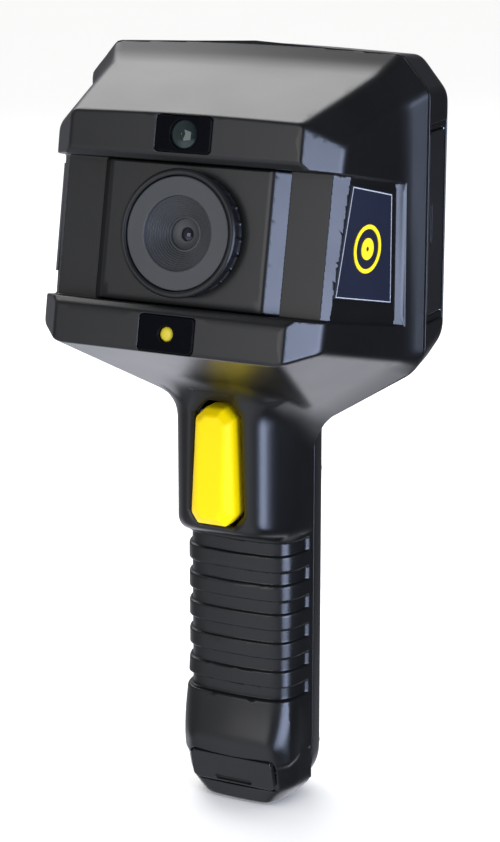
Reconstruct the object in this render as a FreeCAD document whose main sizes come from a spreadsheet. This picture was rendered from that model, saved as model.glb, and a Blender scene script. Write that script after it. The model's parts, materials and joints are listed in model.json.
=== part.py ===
import FreeCAD, Part
import Sketcher

import math
import os
import re

# A handheld thermal imaging camera, in millimetres.
# The origin is the mouth of the tripod socket, in the middle of the foot.
# +Z is up, the lens looks along -Y and slightly up, +X is on the right of someone who faces the lens.
# The lens, the bars and the sensor stack stand in a frame that leans back by "tilt".
# In that frame x is across, d is the depth behind the front plane, and w runs up the front plane.

Vector = FreeCAD.Vector
doc = FreeCAD.newDocument("thermal_camera")
sheet = doc.addObject("Spreadsheet::Sheet", "dims")

# ---------------------------------------------------------------------------------------------
# Driving dimensions
# ---------------------------------------------------------------------------------------------

DIMENSIONS = [
    # placing of the head
    ("tilt", 11.67, "lean of the lens axis, degrees"),
    ("lens_y", -54.4, "front plane on the lens axis"),
    ("lens_z", 217.5, "height of the lens axis at the front plane"),
    ("seam_y", 4.0, "parting plane of the two shells"),
    ("seal_thick", 0.6, "thickness of the seal in the seam"),
    ("wall", 2.5, "wall of the shells"),
    # slot between the bars
    ("cheek_depth", 12.2, "depth of the cheeks behind the front plane"),
    ("slot_top", 23.3, "upper edge of the slot"),
    ("slot_bottom", -24.1, "lower edge of the slot"),
    ("slot_bevel", 2.2, "bevel along the bars' inner edges"),
    ("head_reach", 90.0, "cutting length past the head"),
    # lens panel
    ("panel_half", 30.0, "half width of the panel's face"),
    ("panel_face", 7.5, "depth of the panel's face"),
    ("panel_gap", 0.3, "gap between the panel and the slot"),
    # lens
    ("ring_outer", 21.2, "focus ring, outside radius"),
    ("ring_bore", 19.0, "focus ring, bore"),
    ("ring_front", 1.0, "focus ring, depth of its front"),
    ("ring_back", 7.2, "focus ring, depth of its back"),
    ("ring_notch_radius", 1.5, "radius of a grip notch"),
    ("ring_notch_count", 24, "grip notches round the ring"),
    ("barrel_outer", 18.95, "lens barrel, outside radius"),
    ("barrel_bore", 16.4, "lens barrel, bore"),
    ("barrel_front", 4.8, "depth of the barrel's front"),
    ("barrel_back", 22.0, "depth of the barrel's back"),
    ("barrel_tail", 17.0, "radius of the barrel's tail"),
    ("barrel_flange", 23.0, "radius of the barrel's flange"),
    ("barrel_aperture", 6.0, "radius of the aperture at the barrel's back"),
    ("barrel_clear", 0.65, "clearance of the barrel in the housing"),
    ("flange_front", 15.0, "depth of the flange's front"),
    ("flange_back", 17.0, "depth of the flange's back"),
    ("nose_face", 18.7, "radius of the nose's flat face"),
    ("nose_tube", 16.35, "radius of the nose's tube"),
    ("nose_front", 1.6, "depth of the nose's face"),
    ("nose_step", 3.6, "depth of the back of the nose's face"),
    ("nose_back", 18.5, "depth of the nose's end"),
    ("nose_hole", 12.3, "radius of the baffle's mouth"),
    ("nose_aperture", 5.2, "radius of the aperture"),
    ("nose_seat", 9.5, "depth of the lens seat"),
    ("glass_radius", 6.15, "radius of a lens"),
    ("glass_bore", 6.2, "bore that holds a lens"),
    ("glass_thick", 3.0, "thickness of a lens"),
    ("rear_glass", 14.5, "depth of the rear lens"),
    # sensor stack
    ("bracket_half_x", 30.0, "sensor bracket, half width"),
    ("bracket_half_w", 24.0, "sensor bracket, half height"),
    ("bracket_thick", 2.0, "sensor bracket, thickness"),
    ("barrel_screw", 14.6, "barrel screws, offset across and up"),
    ("post_x", 22.0, "posts, offset across"),
    ("post_w", 17.0, "posts, offset up"),
    ("post_radius", 2.5, "radius of a post"),
    ("board_depth", 34.0, "depth of the detector board"),
    ("board_thick", 1.6, "thickness of a circuit board"),
    ("detector_half", 12.0, "half width of the detector"),
    ("detector_front", 26.0, "depth of the detector's window"),
    ("shutter_x", 20.2, "shutter pivot, offset across, and length of its arm"),
    ("shutter_open", 55.0, "angle of the open shutter, degrees"),
    ("shutter_disc", 6.6, "radius of the shutter's disc"),
    ("shutter_front", 23.6, "depth of the shutter blade"),
    ("shutter_thick", 0.5, "thickness of the shutter blade"),
    ("motor_radius", 3.0, "radius of the shutter's motor"),
    ("motor_back", 23.2, "depth of the motor's back"),
    ("shaft_radius", 0.75, "radius of the shutter's shaft"),
    ("shaft_bore", 0.8, "bore of the shutter blade"),
    # windows in the bars
    ("window_half", 10.3, "half width of a window"),
    ("window_thick", 1.2, "thickness of a window"),
    ("camera_low", 26.1, "lower edge of the camera's window"),
    ("camera_high", 38.2, "upper edge of the camera's window"),
    ("lamp_low", -39.1, "lower edge of the lamp's window"),
    ("lamp_high", -26.9, "upper edge of the lamp's window"),
    ("camera_lens_radius", 4.75, "radius of the camera's front glass"),
    ("camera_hole", 4.85, "hole in the camera's window"),
    ("lamp_radius", 2.4, "radius of the lamp's emitter"),
    ("lamp_hole", 2.6, "hole in the lamp's window"),
    ("module_x", 8.0, "half width of the camera module"),
    ("module_w", 5.0, "half height of the camera module"),
    ("module_back", 10.5, "depth of the module's back"),
    ("lamp_board_x", 9.0, "half width of the lamp's board"),
    ("lamp_board_w", 4.0, "half height of the lamp's board"),
    # labels in the side recesses
    ("label_front_x", 51.2, "recess floor at its front"),
    ("label_front_y", -46.0, "where the recess floor starts"),
    ("label_back_x", 57.2, "recess floor at its back"),
    ("label_back_y", -9.0, "where the recess floor ends"),
    ("label_thick", 0.8, "thickness of a label"),
    # trigger
    ("trigger_mouth", 10.5, "half width of the mouth in the guard"),
    ("trigger_low", 108.5, "lower edge of the mouth"),
    ("trigger_high", 153.5, "upper edge of the mouth"),
    ("pin_y", -20.0, "trigger pivot, across the handle"),
    ("pin_z", 149.0, "trigger pivot, height"),
    ("pin_radius", 1.5, "radius of the trigger's pin"),
    ("pin_bore", 1.55, "bore of the trigger"),
    ("trigger_lean", 3.5, "lean of the trigger's face, degrees"),
    ("trigger_middle", 131.0, "height at which the trigger's depths are given"),
    ("trigger_back", -17.0, "back of the trigger"),
    ("trigger_edge", -28.2, "outer edge of the trigger's bevel"),
    ("trigger_face", -31.3, "face of the trigger"),
    # display and keys, on the rear shell
    ("back_y", 27.0, "plane of the back"),
    ("glass_half_x", 45.0, "display glass, half width"),
    ("glass_low", 193.0, "display glass, lower edge"),
    ("glass_high", 261.0, "display glass, upper edge"),
    ("glass_sheet", 1.8, "thickness of the display glass"),
    ("main_board_y", 8.0, "front of the main board"),
    ("key_radius", 5.0, "radius of a round key"),
    ("arrow_long", 9.0, "length of an arrow key"),
    ("arrow_wide", 5.0, "width of an arrow key"),
    ("key_gap", 0.4, "gap round a key"),
    ("key_rise", 1.2, "how far a key stands out"),
    ("key_deep", 3.0, "depth of a key below the back"),
    ("key_row", 176.0, "height of the middle of the keys"),
    ("key_pitch", 10.5, "spacing of the arrow keys"),
    ("key_side", 32.0, "offset of the side keys"),
    # handle
    ("grip_low", 42.3, "lower edge of the lowest groove"),
    ("grip_pitch", 10.8, "spacing of the grooves"),
    ("groove_high", 4.9, "height of a groove"),
    ("groove_deep", 1.1, "depth of a groove"),
    ("groove_count", 6, "grooves in the grip"),
    ("groove_end_y", -0.9, "where the grooves stop"),
    ("floor_z", 8.6, "top of the floor in the foot"),
    ("socket_radius", 2.55, "bore of the tripod socket"),
    ("socket_long", 8.0, "depth of the tripod socket"),
    ("insert_radius", 5.8, "corner radius of the six-sided tripod insert"),
    # flap in the foot
    ("flap_lean", 15.1, "lean of the foot's front, degrees"),
    ("flap_half", 16.5, "half width of the flap"),
    ("flap_high", 12.0, "height of the flap"),
    ("flap_thick", 2.0, "thickness of the flap"),
    ("flap_y", -16.2, "front of the flap at its top"),
    ("flap_z", 19.4, "top of the flap"),
    ("port_half", 12.8, "half width of the plate behind the flap"),
    ("port_back", 9.0, "depth of the sockets in that plate"),
    # flap in the side of the rear shell
    ("side_in", 62.5, "inner face of the side flap"),
    ("side_out", 64.1, "outer face of the side flap"),
    ("side_front", 6.3, "front edge of the side flap"),
    ("side_back", 19.2, "hinge line of the side flap"),
    ("side_low", 184.3, "lower end of the side flap"),
    ("side_high", 246.7, "upper end of the side flap"),
    ("side_gap", 0.3, "gap round the side flap"),
    # battery
    ("battery_half_x", 15.5, "battery, half width"),
    ("battery_front", -8.6, "battery, front"),
    ("battery_back", 15.0, "battery, back"),
    ("battery_low", 26.0, "battery, bottom"),
    ("battery_high", 98.0, "battery, top"),
]

# Outlines of the shells: the right half of each, from the top centre downwards or from the seam forwards.
OUTLINES = {
    # front plane and shoulders, across and up the leaning front
    "face": [(0, 39.4), (42.1, 38.5), (42.5, 37.5), (42.5, -38.4), (41.9, -39.4), (24, -39.5)],
    "shoulder": [(0, 44.5), (44.2, 43.6), (52.8, 33.7), (52.8, -33.8), (44.8, -38.9), (24.3, -42.4)],
    # inner and outer edge of the flange, across and up
    "flange_in": [(0, 269.2), (50.5, 267), (59.7, 257), (59.7, 171.8), (57.5, 168.2), (24, 146)],
    "flange_out": [(0, 275), (54, 272.6), (64.6, 260.6), (64.6, 171.3), (60.3, 164.3), (23.6, 141.3)],
    # rear shell: its edge and its flat back
    "rear_edge": [(0, 273.2), (54.2, 271), (64.3, 258.6), (64.3, 176), (57.6, 165.8), (23.6, 144.3)],
    "rear_flat": [(0, 268.5), (52, 266.5), (59.5, 256.5), (59.5, 177), (54.5, 170), (23.5, 150)],
    # hollow of the front shell
    "hollow_face": [(0, 41.5), (41, 40.5), (49.3, 31.5), (49.3, -31.5), (42, -36), (21, -37)],
    "hollow_in": [(0, 266.2), (49, 264), (54.4, 255.5), (54.4, 173.5), (53.5, 171.2), (21, 149.6)],
    "hollow_out": [(0, 272), (52.6, 269.6), (61.6, 259.4), (61.6, 172.4), (58.2, 166.9), (21, 144.6)],
    # hollow of the rear shell
    "hollow_rear": [(0, 270.2), (52.8, 268), (61.3, 257.4), (61.3, 177.2), (56, 169), (21, 147.6)],
    "hollow_back": [(0, 267), (51, 265), (58.4, 255.8), (58.4, 178), (53.6, 171.4), (21, 153)],
    # handle, front half: across and forwards
    "foot_sole": [(15.4, 3.7), (15.2, -2), (14.8, -5), (14.2, -7), (13, -9.5), (10, -10.4)],
    "foot_low": [(23.4, 3.7), (22.2, -3), (20.5, -8), (18.5, -10.5), (15.5, -12.3), (10, -13)],
    "foot_high": [(23.4, 3.7), (22.8, -6), (21.3, -11), (19.5, -14), (16.5, -17), (10, -18)],
    "grip": [(23.4, 3.7), (22.8, -2), (21.6, -6.5), (19, -10.5), (15.5, -12.5), (9, -13.5)],
    "guard": [(23.4, 3.7), (22.6, -8), (20.5, -15.5), (18.5, -20.5), (15, -24.5), (11, -26)],
    "grip_hollow": [(20.6, 3.7), (20.2, -2), (18.8, -5.8), (16.6, -8.8), (13.5, -10), (8, -10.6)],
    "guard_hollow": [(20.6, 3.7), (19.8, -8), (17.8, -14.5), (15.8, -18.6), (12.8, -21.8), (9, -23)],
    # handle, rear half: across and backwards
    "heel_sole": [(15.4, 4.3), (15.2, 7), (14.2, 10), (12.5, 12.5), (9, 14.2)],
    "heel": [(23.4, 4.3), (23.2, 10), (21, 16.6), (16.6, 20.8), (9.5, 22.4)],
    "heel_hollow": [(20.6, 4.3), (20.4, 9), (18.5, 14.6), (15, 18), (8.5, 19.6)],
    # seal in the seam, across and up
    "seal_out": [(0, 274.5), (53.8, 272.1), (64.1, 260.4), (64.1, 171.5), (59.9, 164.7), (22.9, 141.5),
                 (22.9, 8.2), (15.2, 0.5)],
    "seal_in": [(0, 273.1), (53.2, 270.8), (62.7, 259.9), (62.7, 171.9), (58.9, 165.7), (21.5, 142.4),
                (21.5, 9), (14.6, 1.9)],
    # trigger, across and up
    "trigger_rim": [(4.2, 152.6), (8.2, 149), (9.6, 115), (6.2, 111.2)],
    "trigger_front": [(2.6, 150.2), (6.2, 147.2), (5.7, 117.2), (3.8, 114.4)],
}

row = 1
for alias, value, note in DIMENSIONS:
    sheet.set(f"A{row}", note)
    sheet.set(f"B{row}", str(value))
    sheet.setAlias(f"B{row}", alias)
    row += 1
for outline, points in OUTLINES.items():
    for number, (across, along) in enumerate(points):
        sheet.set(f"A{row}", f"{outline}, corner {number}")
        sheet.set(f"B{row}", str(across))
        sheet.setAlias(f"B{row}", f"{outline}_across{number}")
        sheet.set(f"C{row}", str(along))
        sheet.setAlias(f"C{row}", f"{outline}_along{number}")
        row += 1
doc.recompute()

ALIASES = {alias for alias, value, note in DIMENSIONS}
ACROSS = Vector(1, 0, 0)
COS = "cos(dims.tilt * 1deg)"
SIN = "sin(dims.tilt * 1deg)"


# ---------------------------------------------------------------------------------------------
# Helpers
# ---------------------------------------------------------------------------------------------

def sized(text):
    """Put the sheet's name before each of its aliases in an expression."""
    def named(word):
        return "dims." + word[0] if word[0] in ALIASES else word[0]
    return re.sub(r"(?<![.\w])[a-z]\w*", named, str(text))


def place(obj, x="0", y="0", z="0"):
    """Bind an object's place in the row's frame."""
    obj.setExpression("Placement.Base.x", sized(x))
    obj.setExpression("Placement.Base.y", sized(y))
    obj.setExpression("Placement.Base.z", sized(z))


def place_in_head(obj, x="0", d="0", w="0", axial=False):
    """Bind an object's place in the leaning frame. An axial one has its own Z along the depth."""
    obj.Placement = FreeCAD.Placement(Vector(), FreeCAD.Rotation(-ACROSS, 10))
    obj.setExpression("Placement.Rotation.Angle", "dims.tilt + 90" if axial else "dims.tilt")
    obj.setExpression("Placement.Base.x", sized(x))
    obj.setExpression("Placement.Base.y", f"dims.lens_y + ({sized(d)}) * {COS} + ({sized(w)}) * {SIN}")
    obj.setExpression("Placement.Base.z", f"dims.lens_z - ({sized(d)}) * {SIN} + ({sized(w)}) * {COS}")


def primitive(kind, name, **sizes):
    obj = doc.addObject(kind, name)
    for size, text in sizes.items():
        obj.setExpression(size, sized(text))
    return obj


def box(name, x, y, z, placing=place):
    """A box from (low, high) in each direction."""
    obj = primitive(
        "Part::Box", name,
        Length=f"({sized(x[1])}) - ({sized(x[0])})",
        Width=f"({sized(y[1])}) - ({sized(y[0])})",
        Height=f"({sized(z[1])}) - ({sized(z[0])})",
    )
    placing(obj, x[0], y[0], z[0])
    return obj


def head_box(name, x, d, w):
    return box(name, x, d, w, place_in_head)


def head_cylinder(name, radius, d, x="0", w="0"):
    """A cylinder along the depth of the leaning frame, from d[0] to d[1]."""
    obj = primitive("Part::Cylinder", name, Radius=radius, Height=f"({sized(d[1])}) - ({sized(d[0])})")
    place_in_head(obj, x, d[0], w, axial=True)
    return obj


def turned_cylinder(name, radius, length, axis, angle, x, y, z):
    """A cylinder whose own Z is turned about an axis of the row's frame."""
    obj = primitive("Part::Cylinder", name, Radius=radius, Height=length)
    obj.Placement = FreeCAD.Placement(Vector(), FreeCAD.Rotation(axis, angle))
    place(obj, x, y, z)
    return obj


def insert_prism(name):
    """The six-sided outline of the tripod insert, from the sole upwards."""
    obj = primitive("Part::Prism", name, Circumradius="insert_radius", Height="socket_long")
    obj.Polygon = 6
    return obj


def cut(name, base, *tools):
    obj = doc.addObject("Part::Cut", name)
    obj.Base = base
    obj.Tool = tools[0] if len(tools) == 1 else fuse(name + "_tools", *tools)
    return obj


def fuse(name, *parts):
    obj = doc.addObject("Part::MultiFuse", name)
    obj.Shapes = list(parts)
    return obj


def common(name, base, tool):
    obj = doc.addObject("Part::Common", name)
    obj.Base = base
    obj.Tool = tool
    return obj


def group(name, parts):
    """Several separate solids in one node."""
    obj = doc.addObject("Part::Compound", name)
    obj.Links = list(parts)
    return obj


def mirrored(name, source):
    obj = doc.addObject("Part::Mirroring", name)
    obj.Source = source
    obj.Normal = ACROSS
    return obj


def polygon(sketch, points):
    """Draw a closed outline. Each corner's two distances from the origin are bound to the sheet."""
    count = len(points)
    turns = [2 * math.pi * i / count for i in range(count)]
    places = [Vector(math.cos(turn), math.sin(turn)) for turn in turns]
    sketch.addGeometry([Part.LineSegment(places[i], places[(i + 1) % count]) for i in range(count)], False)
    for i in range(count):
        sketch.addConstraint(Sketcher.Constraint("Coincident", i, 2, (i + 1) % count, 1))
    for i, (across, along) in enumerate(points):
        for kind, text in (("DistanceX", across), ("DistanceY", along)):
            start = places[i].x if kind == "DistanceX" else places[i].y
            number = sketch.addConstraint(Sketcher.Constraint(kind, -1, 1, i, 1, start))
            sketch.setExpression(f"Constraints[{number}]", sized(text))


def both_halves(outline):
    """The corners of a symmetric outline of the sheet, right half and then left half."""
    last = len(OUTLINES[outline])
    right = [(f"dims.{outline}_across{i}", f"dims.{outline}_along{i}") for i in range(last)]
    starts_on_axis = OUTLINES[outline][0][0] == 0
    left = [(f"0 - {across}", along) for across, along in reversed(right)]
    return right + (left[:-1] if starts_on_axis else left)


def outline_sketch(name, outline, turn, placing, *where):
    sketch = doc.addObject("Sketcher::SketchObject", name)
    polygon(sketch, both_halves(outline))
    sketch.Placement = FreeCAD.Placement(Vector(), FreeCAD.Rotation(ACROSS, turn))
    placing(sketch, *where)
    return sketch


def upright_sketch(name, outline, y):
    """An outline on a plane square to Y, drawn across and up."""
    return outline_sketch(name, outline, 90, place, "0", y, "0")


def level_sketch(name, outline, z):
    """An outline on a level plane, drawn across and backwards."""
    return outline_sketch(name, outline, 0, place, "0", "0", z)


def leaning_sketch(name, outline, d):
    """An outline on a plane parallel to the leaning front."""
    sketch = doc.addObject("Sketcher::SketchObject", name)
    polygon(sketch, both_halves(outline))
    sketch.Placement = FreeCAD.Placement(Vector(), FreeCAD.Rotation(ACROSS, 80))
    sketch.setExpression("Placement.Rotation.Angle", "90 - dims.tilt")
    sketch.setExpression("Placement.Base.y", f"dims.lens_y + ({sized(d)}) * {COS}")
    sketch.setExpression("Placement.Base.z", f"dims.lens_z - ({sized(d)}) * {SIN}")
    return sketch


def loft(name, *sketches):
    obj = doc.addObject("Part::Loft", name)
    obj.Sections = list(sketches)
    obj.Solid = True
    obj.Ruled = True
    return obj


def origin_plane(body, role):
    return next(item for item in body.Origin.OriginFeatures if item.Role == role)


def revolved(name, points):
    """A body turned about its own Z, from a profile of (radius, height) corners."""
    body = doc.addObject("PartDesign::Body", name)
    sketch = body.newObject("Sketcher::SketchObject", name + "_profile")
    sketch.AttachmentSupport = [(origin_plane(body, "XZ_Plane"), "")]
    sketch.MapMode = "FlatFace"
    polygon(sketch, points)
    turn = body.newObject("PartDesign::Revolution", name + "_turn")
    turn.Profile = sketch
    turn.ReferenceAxis = (sketch, ["V_Axis"])
    turn.Angle = 360
    body.Tip = turn
    return body


def extruded(name, points, turn, length):
    """A prism from an outline, and the sketch that it stands on."""
    sketch = doc.addObject("Sketcher::SketchObject", name + "_outline")
    polygon(sketch, points)
    sketch.Placement = turn
    obj = doc.addObject("Part::Extrusion", name)
    obj.Base = sketch
    obj.DirMode = "Normal"
    obj.setExpression("LengthFwd", sized(length))
    obj.Solid = True
    return obj, sketch


def screw(name, head_radius, head_high, radius, length):
    """A pan-head screw that stands head up on its own origin, with its shank below."""
    head = primitive("Part::Cylinder", name + "_head", Radius=head_radius, Height=head_high)
    shank = primitive("Part::Cylinder", name + "_shank", Radius=radius, Height=length)
    shank.setExpression("Placement.Base.z", f"0 - ({sized(length)})")
    socket = primitive("Part::Box", name + "_slot", Length="5", Width="0.6", Height="0.5")
    socket.setExpression("Placement.Base.x", "-2.5")
    socket.setExpression("Placement.Base.y", "-0.3")
    socket.setExpression("Placement.Base.z", f"{sized(head_high)} - 0.45")
    return cut(name, fuse(name + "_blank", head, shank), socket)


# ---------------------------------------------------------------------------------------------
# Shells
# ---------------------------------------------------------------------------------------------

def slot(name, depth):
    """Everything between the bars from in front of the head down to a depth, both sides included."""
    return head_box(name, ("0 - head_reach", "head_reach"), ("0 - 5", depth), ("slot_bottom", "slot_top"))


def side_recess(name):
    """The recess behind a cheek: a level outline, cut off at the slot's upper and lower edges."""
    points = [
        ("label_front_x", "0 - head_reach"), ("label_front_x", "label_front_y"),
        ("label_back_x", "label_back_y"), ("59.9", "0 - 4.2"),
        ("head_reach", "0 - 4.2"), ("head_reach", "0 - head_reach"),
    ]
    prism, sketch = extruded(name + "_prism", points, FreeCAD.Placement(), "300")
    return common(name, slot(name + "_slab", "75"), prism)


def inset_outline(outline):
    """Corners of a handle outline taken in on both sides and at the front by the depth of a groove."""
    right = [
        (f"dims.{outline}_across{i} - groove_deep", f"dims.{outline}_along{i} + groove_deep")
        for i in range(len(OUTLINES[outline]))
    ]
    left = [(f"0 - ({across})", along) for across, along in reversed(right)]
    return right + left


def grip_groove(number):
    """A shallow groove round the front of the grip: a slab less the grip taken in by the groove's depth."""
    low = f"grip_low + {number} * grip_pitch"
    name = f"groove{number}"
    slab = box(name + "_slab", ("0 - 40", "40"), ("0 - 40", "groove_end_y"), (low, f"{low} + groove_high"))
    core, sketch = extruded(name + "_core", inset_outline("grip"), FreeCAD.Placement(), "groove_high + 0.2")
    core.setExpression("Placement.Base.z", sized(f"{low} - 0.1"))
    return cut(name, slab, core)


front_core = loft(
    "front_core",
    leaning_sketch("face_section", "face", "0"),
    leaning_sketch("shoulder_section", "shoulder", "10"),
    upright_sketch("flange_in_section", "flange_in", "0 - 4"),
    upright_sketch("flange_out_section", "flange_out", "seam_y - seal_thick / 2"),
)
handle_front = loft(
    "handle_front",
    level_sketch("sole_section", "foot_sole", "0"),
    level_sketch("foot_low_section", "foot_low", "7.5"),
    level_sketch("foot_high_section", "foot_high", "26"),
    level_sketch("grip_low_section", "grip", "40"),
    level_sketch("grip_high_section", "grip", "103.5"),
    level_sketch("guard_low_section", "guard", "106.5"),
    level_sketch("guard_high_section", "guard", "166"),
)
front_hollow = loft(
    "front_hollow",
    leaning_sketch("hollow_face_section", "hollow_face", "cheek_depth + wall"),
    upright_sketch("hollow_in_section", "hollow_in", "0 - 4"),
    upright_sketch("hollow_out_section", "hollow_out", "seam_y"),
)
handle_hollow = loft(
    "handle_hollow",
    level_sketch("floor_section", "grip_hollow", "floor_z"),
    level_sketch("grip_hollow_section", "grip_hollow", "104.5"),
    level_sketch("guard_hollow_section", "guard_hollow", "108"),
    level_sketch("neck_hollow_section", "guard_hollow", "170"),
)
slot_mouth = primitive(
    "Part::Wedge", "slot_mouth",
    Xmin="0 - head_reach", Xmax="head_reach", X2min="0 - head_reach", X2max="head_reach",
    Ymin="0 - 0.01", Ymax="slot_bevel",
    Zmin="slot_bottom - slot_bevel", Zmax="slot_top + slot_bevel", Z2min="slot_bottom", Z2max="slot_top",
)
place_in_head(slot_mouth)
right_recess = side_recess("right_recess")
trigger_mouth = box(
    "trigger_mouth_cut", ("0 - trigger_mouth", "trigger_mouth"), ("0 - 40", "0 - 15"),
    ("trigger_low", "trigger_high"),
)
flap_turn = FreeCAD.Placement(Vector(), FreeCAD.Rotation(ACROSS, 10))


def on_flap(obj, x, depth, up):
    """Place an object in the frame of the foot's leaning front, from the top of the flap."""
    obj.Placement = flap_turn
    obj.setExpression("Placement.Rotation.Angle", "dims.flap_lean")
    lean = "dims.flap_lean * 1deg"
    obj.setExpression("Placement.Base.x", sized(x))
    obj.setExpression("Placement.Base.y", sized(f"flap_y + ({depth}) * cos({lean}) - ({up}) * sin({lean})"))
    obj.setExpression("Placement.Base.z", sized(f"flap_z + ({depth}) * sin({lean}) + ({up}) * cos({lean})"))


def flap_box(name, x, depth, up):
    return box(name, x, depth, up, on_flap)


front_shell = cut(
    "front_shell",
    fuse("front_blank", front_core, handle_front),
    front_hollow, handle_hollow,
    slot("front_slot", "cheek_depth"), slot_mouth, right_recess, mirrored("left_recess", right_recess),
    # lens, windows and the modules behind them
    head_cylinder("lens_hole", "barrel_outer + barrel_clear", ("cheek_depth - 1", "cheek_depth + wall + 1")),
    head_box("camera_pocket", ("0 - window_half", "window_half"), ("0 - 3", "window_thick"),
             ("camera_low", "camera_high + 3")),
    head_box("lamp_pocket", ("0 - window_half", "window_half"), ("0 - 3", "window_thick"),
             ("lamp_low - 3", "lamp_high")),
    head_box("camera_hollow", ("0 - module_x - 1", "module_x + 1"), ("0", "cheek_depth + wall + 1"),
             ("camera_low + 1", "camera_high - 1")),
    head_box("lamp_hollow", ("0 - lamp_board_x - 0.4", "lamp_board_x + 0.4"), ("0", "cheek_depth + wall + 1"),
             ("lamp_low + 1.5", "lamp_high - 1")),
    # trigger, flap and the socket in the foot
    trigger_mouth,
    flap_box("flap_pocket", ("0 - flap_half - 0.3", "flap_half + 0.3"), ("0 - 6", "flap_thick + 0.3"),
             ("0 - flap_high - 0.3", "0.3")),
    flap_box("port_hollow", ("0 - port_half - 0.2", "port_half + 0.2"), ("0", "12"),
             ("0 - flap_high + 1.6", "0 - 2.6")),
    insert_prism("insert_hole"),
    *[grip_groove(number) for number in range(int(sheet.groove_count))],
)

rear_head = loft(
    "rear_head",
    upright_sketch("rear_flange_section", "flange_out", "seam_y + seal_thick / 2"),
    upright_sketch("rear_edge_section", "rear_edge", "22"),
    upright_sketch("rear_flat_section", "rear_flat", "back_y"),
)
handle_rear = loft(
    "handle_rear",
    level_sketch("heel_sole_section", "heel_sole", "0"),
    level_sketch("heel_low_section", "heel", "12"),
    level_sketch("heel_high_section", "heel", "166"),
)
rear_hollow = loft(
    "rear_hollow",
    upright_sketch("hollow_seam_section", "hollow_out", "seam_y"),
    upright_sketch("hollow_rear_section", "hollow_rear", "20"),
    upright_sketch("hollow_back_section", "hollow_back", "back_y - wall"),
)
heel_hollow = loft(
    "heel_hollow",
    level_sketch("heel_floor_section", "heel_hollow", "floor_z"),
    level_sketch("heel_top_section", "heel_hollow", "166"),
)

rear_shell = cut(
    "rear_shell",
    fuse("rear_blank", rear_head, handle_rear),
    rear_hollow, heel_hollow,
    insert_prism("insert_hole_rear"),
    box("glass_recess", ("0 - glass_half_x - 0.3", "glass_half_x + 0.3"), ("back_y - 2", "back_y + 2"),
        ("glass_low - 0.3", "glass_high + 0.3")),
    box("panel_window", ("0 - 42", "42"), ("19.6", "back_y + 2"), ("196", "258")),
    box("side_pocket", ("side_in - side_gap", "side_in + 8"), ("side_front - side_gap", "side_back + 1.1"),
        ("side_low - side_gap", "side_high + side_gap")),
    box("side_hole", ("57", "64"), ("9", "17"), ("205", "225")),
)

# Screws: across, height, plane under the head. The shells have a boss round each.
SCREW_PLACES = [(54, 243, 25), (54, 183, 25), (17, 122, 17), (17, 17, 17)]
BOSS_RADIUS = "3.5"
SCREW_HOLE = "1.5"
SCREW_SINK = "2.8"
FRONT_EDGE = "seam_y - seal_thick / 2"
REAR_EDGE = "seam_y + seal_thick / 2"


def along_y(name, radius, low, high, x, z):
    """A cylinder along +Y from one plane to another."""
    return turned_cylinder(
        name, radius, f"({sized(high)}) - ({sized(low)})", ACROSS, -90, str(x), str(low), str(z),
    )


front_bosses = []
rear_bosses = []
front_holes = []
rear_holes = []
screws = []
for number, (across, high, head_y) in enumerate(SCREW_PLACES):
    for side in (-1, 1):
        tag = f"{number}{'l' if side < 0 else 'r'}"
        x = side * across
        front_bosses.append(along_y("front_boss" + tag, BOSS_RADIUS, "0 - 6", FRONT_EDGE, x, high))
        rear_bosses.append(along_y("rear_boss" + tag, BOSS_RADIUS, REAR_EDGE, head_y, x, high))
        front_holes.append(along_y("front_hole" + tag, SCREW_HOLE, "0 - 4", "seam_y + 1", x, high))
        rear_holes.append(along_y("rear_hole" + tag, SCREW_HOLE, "0", head_y + 1, x, high))
        rear_holes.append(along_y("rear_sink" + tag, SCREW_SINK, head_y, head_y + 8, x, high))
        piece = screw("screw" + tag, "2.6", "1.6", "1.45", head_y + 2)
        piece.Placement = FreeCAD.Placement(Vector(), FreeCAD.Rotation(ACROSS, -90))
        place(piece, x, head_y, high)
        screws.append(piece)
group("housing_screws", screws)

ears = [
    box(f"pin_ear{side}", (low, high), ("0 - 23.5", "0 - 16.5"), ("145", "153.5"))
    for side, low, high in (("l", "0 - 16", "0 - 10.6"), ("r", "10.6", "16"))
]


def pin_cylinder(name, radius, half):
    """A cylinder across the handle, on the trigger's pivot."""
    return turned_cylinder(name, radius, f"2 * {half}", Vector(0, 1, 0), 90, f"0 - {half}", "pin_y", "pin_z")


front_bossed = fuse("front_bossed", front_shell, *front_bosses, *ears)
cut("front_housing", front_bossed, pin_cylinder("pin_hole", "pin_radius", "20"), *front_holes)

# ---------------------------------------------------------------------------------------------
# Keys: name, across, height above the middle key, and whether each is round, wide or tall
# ---------------------------------------------------------------------------------------------

KEYS = [
    ("key_ok", "0", "0", "round"),
    ("key_up", "0", "key_pitch", "wide"),
    ("key_down", "0", "0 - key_pitch", "wide"),
    ("key_left", "0 - key_pitch", "0", "tall"),
    ("key_right", "key_pitch", "0", "tall"),
    ("key_back", "0 - key_side", "0", "round"),
    ("key_power", "key_side", "0", "round"),
]


def key_solid(name, across, up, form, low, high, gap):
    if form == "round":
        return along_y(name, f"key_radius + {gap}", low, high, across, f"key_row + {up}")
    half_x, half_z = "arrow_long / 2", "arrow_wide / 2"
    if form == "tall":
        half_x, half_z = half_z, half_x
    return box(
        name, (f"{across} - {half_x} - {gap}", f"{across} + {half_x} + {gap}"), (low, high),
        (f"key_row + {up} - {half_z} - {gap}", f"key_row + {up} + {half_z} + {gap}"),
    )


key_holes = []
for name, across, up, form in KEYS:
    key_solid(name, across, up, form, "back_y - key_deep", "back_y + key_rise", "0")
    hole = key_solid(name + "_hole", across, up, form, "back_y - key_deep - 2", "back_y + 3", "key_gap")
    key_holes.append(hole)
cut("rear_housing", fuse("rear_bossed", rear_shell, *rear_bosses), *rear_holes, *key_holes)

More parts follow.
